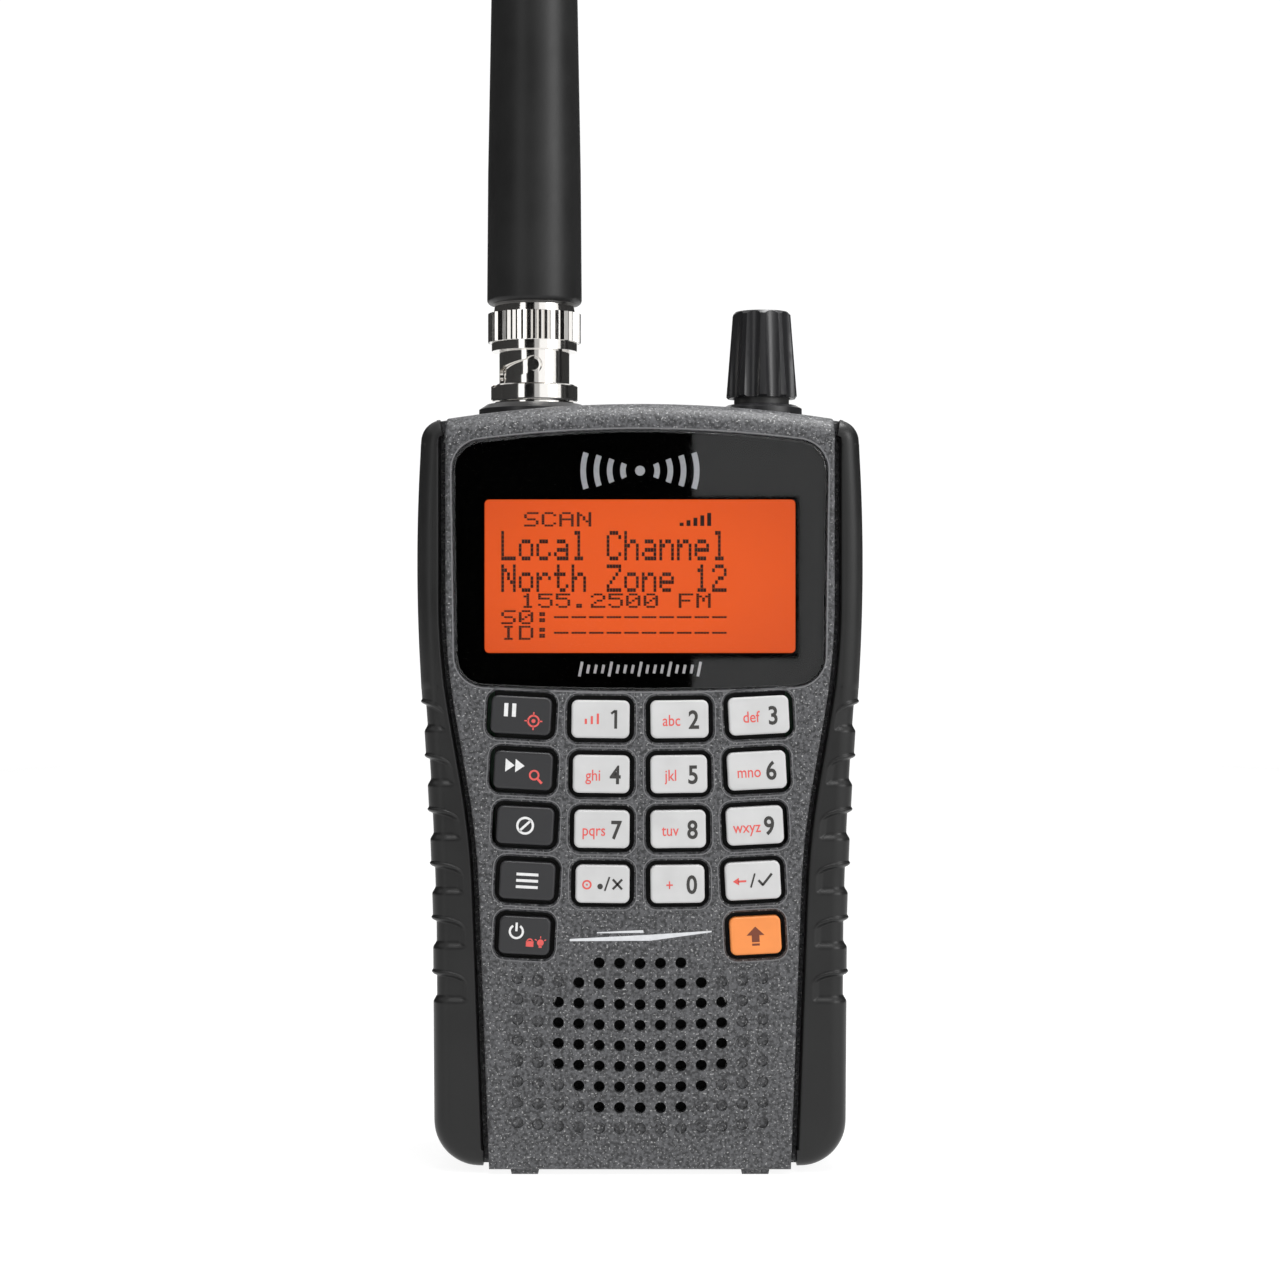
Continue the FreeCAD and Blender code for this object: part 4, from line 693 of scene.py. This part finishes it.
def draw_shift(ink):
    ink.bar((0, 0.05), (0, 1.35), 2.7, "ink_brown", 0.04)
    ink.box(0, -0.45, 1.15, 1.05, "ink_brown")
    ink.box(0, -1.35, 1.15, 0.32, "ink_brown")


ICONS = {"key_hold": draw_pause, "key_scan": draw_forward, "key_lockout": draw_barred,
         "key_menu": draw_lines, "key_power": draw_power, "key_dot": draw_cancel,
         "key_enter": draw_accept, "key_function": draw_shift}


def key_lean(middle):
    """Degrees that a key leans outwards: the outer columns lean more than the inner ones."""
    return math.copysign(3.0 if abs(middle.x) > 10 * MM else 0.7, middle.x)


def make_legends():
    for key in [*DIGITS, *ICONS]:
        low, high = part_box(key)
        middle = (low + high) / 2
        ink = Print()
        if key in DIGITS:
            draw_digit(ink, *DIGITS[key])
        else:
            ICONS[key](ink)
        ink.piece(key + "_legend", low.y, (middle.x, middle.z), key_lean(middle), key, slot_of[key])


# --- painted edge highlights and streak of the case -----------------------------------------


def rounded_outline(wide, tall, corner):
    """Points round a rectangle with rounded corners, in mm."""
    steps = 6
    points = []
    for quarter in range(4):
        across = wide / 2 - corner if quarter in (0, 3) else corner - wide / 2
        up = tall / 2 - corner if quarter < 2 else corner - tall / 2
        for step in range(steps + 1):
            turn = math.radians(90 * quarter + 90 / steps * step)
            points.append((across + corner * math.cos(turn), up + corner * math.sin(turn)))
    return points


def make_well_edges():
    """Painted highlight round the well of each key: a thin light ring where the rounded edge of the
    well would catch the light.
    """
    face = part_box("front_case")[0].y
    key_tall, key_corner, well_edge, edge_wide = 5.7, 0.95, 1.0, 0.14
    for key in [*DIGITS, *ICONS]:
        low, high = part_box(key)
        middle = (low + high) / 2
        lean = key_lean(middle)
        key_wide = (high.x - low.x) / MM - key_tall * math.sin(math.radians(abs(lean)))
        runs = []
        for out in (well_edge + edge_wide, well_edge):
            runs.append(rounded_outline(key_wide + 2 * out, key_tall + 2 * out, key_corner + out))
        ink = Print()
        ink.strip(*runs, "case_edge", closed=True)
        ink.piece(key + "_well_highlight", face, (middle.x, middle.z), lean, "case", "case_plastic")


def make_display_edge():
    """Painted highlight round the recess that holds the lens, a little way out from the lens: a
    thin light ring where its rounded edge would catch the light.
    """
    rays, lens_depth, edge_reach = 240, 0.45, (0.42, 0.24)
    low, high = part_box("display_lens")
    middle = (low + high) / 2
    centre = Vector((0, middle.z / MM))
    rim = []
    for ray in range(rays):
        facing = math.tau * ray / rays
        rim.append(outline_of("display_lens", low.y / MM + lens_depth, centre, facing) - centre)
    runs = [[], []]
    for place, spot in enumerate(rim):
        along = (rim[(place + 1) % rays] - rim[place - 1]).normalized()
        out = Vector((along.y, -along.x))
        for run, reach in zip(runs, edge_reach):
            run.append(tuple(spot + out * reach))
    ink = Print()
    ink.strip(*runs, "case_edge", closed=True)
    ink.piece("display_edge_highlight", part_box("front_case")[0].y, (0, middle.z), 0, "case", "case_plastic")


def make_case_badge():
    """Thin bright streak over the grille, two strokes that taper away."""
    ink = Print()
    ink.bar((-10.6, -0.55), (1.5, -0.2), 0.34, "ink_silver", 0.9)
    ink.bar((1.5, -0.2), (10.8, 0.75), 0.9, "ink_silver", 0.22)
    ink.bar((-6.5, 0.55), (0.5, 0.75), 0.16, "ink_silver", 0.42)
    ink.piece("case_badge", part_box("front_case")[0].y, (0, 36.0 * MM), 0, "case", "case_plastic")


# --- side grips -------------------------------------------------------------------------

# All in mm. The pockets are counted from the top one.
POCKETS = 6
FIRST_POCKET, POCKET_PITCH, POCKET_TALL, POCKET_DEEP = 68.9, 8.2, 4.4, 0.55
# Distance from the groove at which a pocket starts: the top one's, what each adds, and at most.
START, START_STEP, START_MOST = 0.35, 0.15, 0.5
ARCH_LONG, ARCH_DROP, CORNER = 4.2, 2.0, 1.0
TOP_WALL, LOW_WALL = 0.34, 1.2
LIP_WIDE, LIP_HIGH, LIP_FADE = 0.6, 0.22, 1.2
GROOVE = 1.0
GRIP_ROUND = 2.6
GRIP_SKIN = 2.3
# Depths at which the outlines of the two cases are read.
FRONT_DEPTH, REAR_DEPTH = -11, 9
# Number of the point of a section where the face of the grip starts.
FACE_START = 4


def outline_of(node, depth, centre, facing):
    """Where a ray towards a point from one side first meets a node, in mm."""
    clear = 60 * MM
    out = Vector((math.cos(facing), 0, math.sin(facing)))
    start = Vector((centre[0], depth, centre[1])) * MM + out * clear
    hit, place, _, _ = nodes[node].ray_cast(start, -out)
    if not hit:
        raise RuntimeError("no outline on " + node)
    return Vector((place.x, place.z)) / MM


def smoothed(run, passes=4):
    """The points of a run, evened out without moving its ends."""
    for _ in range(passes):
        run = [run[0]] + [(run[i - 1] + run[i] * 2 + run[i + 1]) / 4
                          for i in range(1, len(run) - 1)] + [run[-1]]
    return run


def grip_heights(low, high):
    """Heights of the rows of the grip: close together over the pockets."""
    fine_row, plain_row = 0.14, 1.0
    pockets_low = FIRST_POCKET - POCKET_PITCH * (POCKETS - 1) - POCKET_TALL
    pockets_high = FIRST_POCKET + POCKET_TALL
    heights = [low]
    while heights[-1] < high:
        fine = pockets_low < heights[-1] < pockets_high
        heights.append(heights[-1] + (fine_row if fine else plain_row))
    heights[-1] = high
    return heights


def grip_paths(low, high):
    """Outer outline and groove edge of the right grip, matched point for point."""
    foot, head = low.z / MM, high.z / MM
    edge_low, edge_high = foot + 0.6, head - 4
    groove_foot = outline_of("front_case", FRONT_DEPTH, (0, foot + 0.5), 0).x + GROOVE
    groove_head = outline_of("front_case", FRONT_DEPTH, (0, edge_high), 0).x + GROOVE
    bend_low, bend_high = foot + 7.2, head - 3.6
    inner_low, inner_high = foot + GRIP_ROUND, head - GRIP_ROUND
    outer = [Vector((groove_foot, foot))]
    inner_up = [inner_low]
    steps = 16
    for step in range(steps):
        facing = math.radians(-90 + 90 * step / steps)
        outer.append(outline_of("rear_case", REAR_DEPTH, (groove_foot + 0.8, bend_low), facing))
        inner_up.append(inner_low + (bend_low - inner_low) * (step + 1) / (steps + 1))
    rows = grip_heights(bend_low, bend_high)
    sides = smoothed([outline_of("rear_case", REAR_DEPTH, (0, up), 0) for up in rows])
    outer += [Vector((side.x, up)) for side, up in zip(sides, rows)]
    inner_up += rows
    for step in range(1, steps + 1):
        facing = math.radians(90 * step / steps)
        outer.append(outline_of("rear_case", REAR_DEPTH, (groove_head, bend_high), facing))
        inner_up.append(bend_high + (inner_high - bend_high) * step / steps)
    edge_up = [min(max(up, edge_low), edge_high) for up in inner_up]
    edge = smoothed([outline_of("front_case", FRONT_DEPTH, (0, up), 0) for up in edge_up])
    inner = [Vector((side.x + GROOVE, up)) for side, up in zip(edge, inner_up)]
    return outer, inner


def pocket_depth(along, up):
    """How deep the surface lies in a pocket: along is the way out from the groove.

    The upper edge arches down towards the groove, under a fine lip that stands proud.
    The lower edge turns up in a corner.
    """
    for pocket in range(POCKETS):
        middle = FIRST_POCKET - POCKET_PITCH * pocket
        inside = along - START - min(START_STEP * pocket, START_MOST)
        if abs(up - middle) > POCKET_TALL or inside < 0:
            continue
        arch = max(1 - inside / ARCH_LONG, 0)
        top = middle + POCKET_TALL / 2 - ARCH_DROP * (1 - math.sqrt(1 - arch * arch))
        bend = max(CORNER - inside, 0)
        bottom = middle - POCKET_TALL / 2 + CORNER - math.sqrt(CORNER * CORNER - bend * bend)
        over = (up - top) / LIP_WIDE
        if 0 < over < 1:
            return -LIP_HIGH * math.sin(math.pi * over) * min(inside / LIP_FADE, 1)
        share = min((top - up) / TOP_WALL, (up - bottom) / LOW_WALL, inside / LOW_WALL)
        share = min(max(share, 0), 1)
        return POCKET_DEEP * share * share * (3 - 2 * share)
    return 0


def grip_section(outer, inner, out, front, back):
    """Points across the grip at one place, each with the way that its surface faces.

    A point is its x and z, its depth, the part of its way that is in x and z (None where the
    pockets never reach), and the part that is in depth.
    """
    edge_round, wall_deep = 0.35, 2.0
    face_steps, round_steps, side_steps = 26, 10, 16
    ahead = Vector((0, 0))
    wall_back = front + wall_deep
    face_end = outer - out * GRIP_ROUND
    across = (face_end - inner).normalized()
    section = [(inner, wall_back, -across, 0), (inner, front + edge_round, -across, 0)]
    for turn in (30, 60):
        bend = math.radians(turn)
        section.append((inner + across * edge_round * (1 - math.cos(bend)),
                        front + edge_round * (1 - math.sin(bend)), ahead, -1))
    start = inner + across * edge_round
    for step in range(face_steps + 1):
        section.append((start.lerp(face_end, step / face_steps), front, ahead, -1))
    for step in range(1, round_steps + 1):
        bend = math.radians(90 / round_steps * step)
        section.append((face_end + out * GRIP_ROUND * math.sin(bend),
                        front + GRIP_ROUND * (1 - math.cos(bend)),
                        out * math.sin(bend), -math.cos(bend)))
    side_front = front + GRIP_ROUND
    for step in range(1, side_steps + 1):
        section.append((outer, side_front + (back - side_front) * step / side_steps, out, 0))
    section.append((outer - out * GRIP_SKIN, back, None, 0))
    section.append((outer - out * GRIP_SKIN, wall_back, None, 0))
    return section


def scooped(section):
    """The points of a section in metres, after the pockets are taken out."""
    row = []
    travelled = 0
    for spot, (point, depth, facing, forward) in enumerate(section):
        if spot > FACE_START:
            last, last_depth, _, _ = section[spot - 1]
            travelled += math.hypot((point - last).length, depth - last_depth)
        if facing is not None:
            sunk = pocket_depth(travelled, point.y)
            point = point - facing * sunk
            depth = depth - forward * sunk
        row.append((point.x * MM, depth * MM, point.y * MM))
    return row


def make_grip(name, side):
    """Soft rubber side of the case, with scooped pockets for the fingers.

    It is worked out as the right one: side is 1 for that, and -1 for its mirror image.
    """
    low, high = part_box("side_grip_right")
    front, back = low.y / MM, high.y / MM
    outer, inner = grip_paths(low, high)
    mesh = bmesh.new()
    rows = []
    for place, (rim, edge) in enumerate(zip(outer, inner)):
        before = outer[max(place - 1, 0)]
        after = outer[min(place + 1, len(outer) - 1)]
        along_rim = (after - before).normalized()
        out = Vector((along_rim.y, -along_rim.x))
        section = grip_section(rim, edge, out, front, back)
        rows.append([mesh.verts.new((side * x, y, z)) for x, y, z in scooped(section)])
    count = len(rows[0])
    for lower, upper in zip(rows, rows[1:]):
        for spot in range(count):
            after = (spot + 1) % count
            mesh.faces.new((lower[spot], lower[after], upper[after], upper[spot]))
    mesh.faces.new(rows[0])
    mesh.faces.new(rows[-1])
    bmesh.ops.recalc_face_normals(mesh, faces=mesh.faces)
    data = bpy.data.meshes.new(name)
    mesh.to_mesh(data)
    mesh.free()
    data.shade_smooth()
    data.set_sharp_from_angle(angle=math.radians(75))
    data.materials.append(finishes["grip_rubber"])
    piece = add_object(name, data)
    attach(piece, "case")
    return piece


make_camera()
make_studio()
finishes = make_materials()
finish_nodes(finishes)
make_display_text()
make_lens_marks()
make_legends()
make_case_badge()
make_well_edges()
make_display_edge()
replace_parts(make_grip("soft_grip_left", -1), "side_grip_left")
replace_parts(make_grip("soft_grip_right", 1), "side_grip_right")
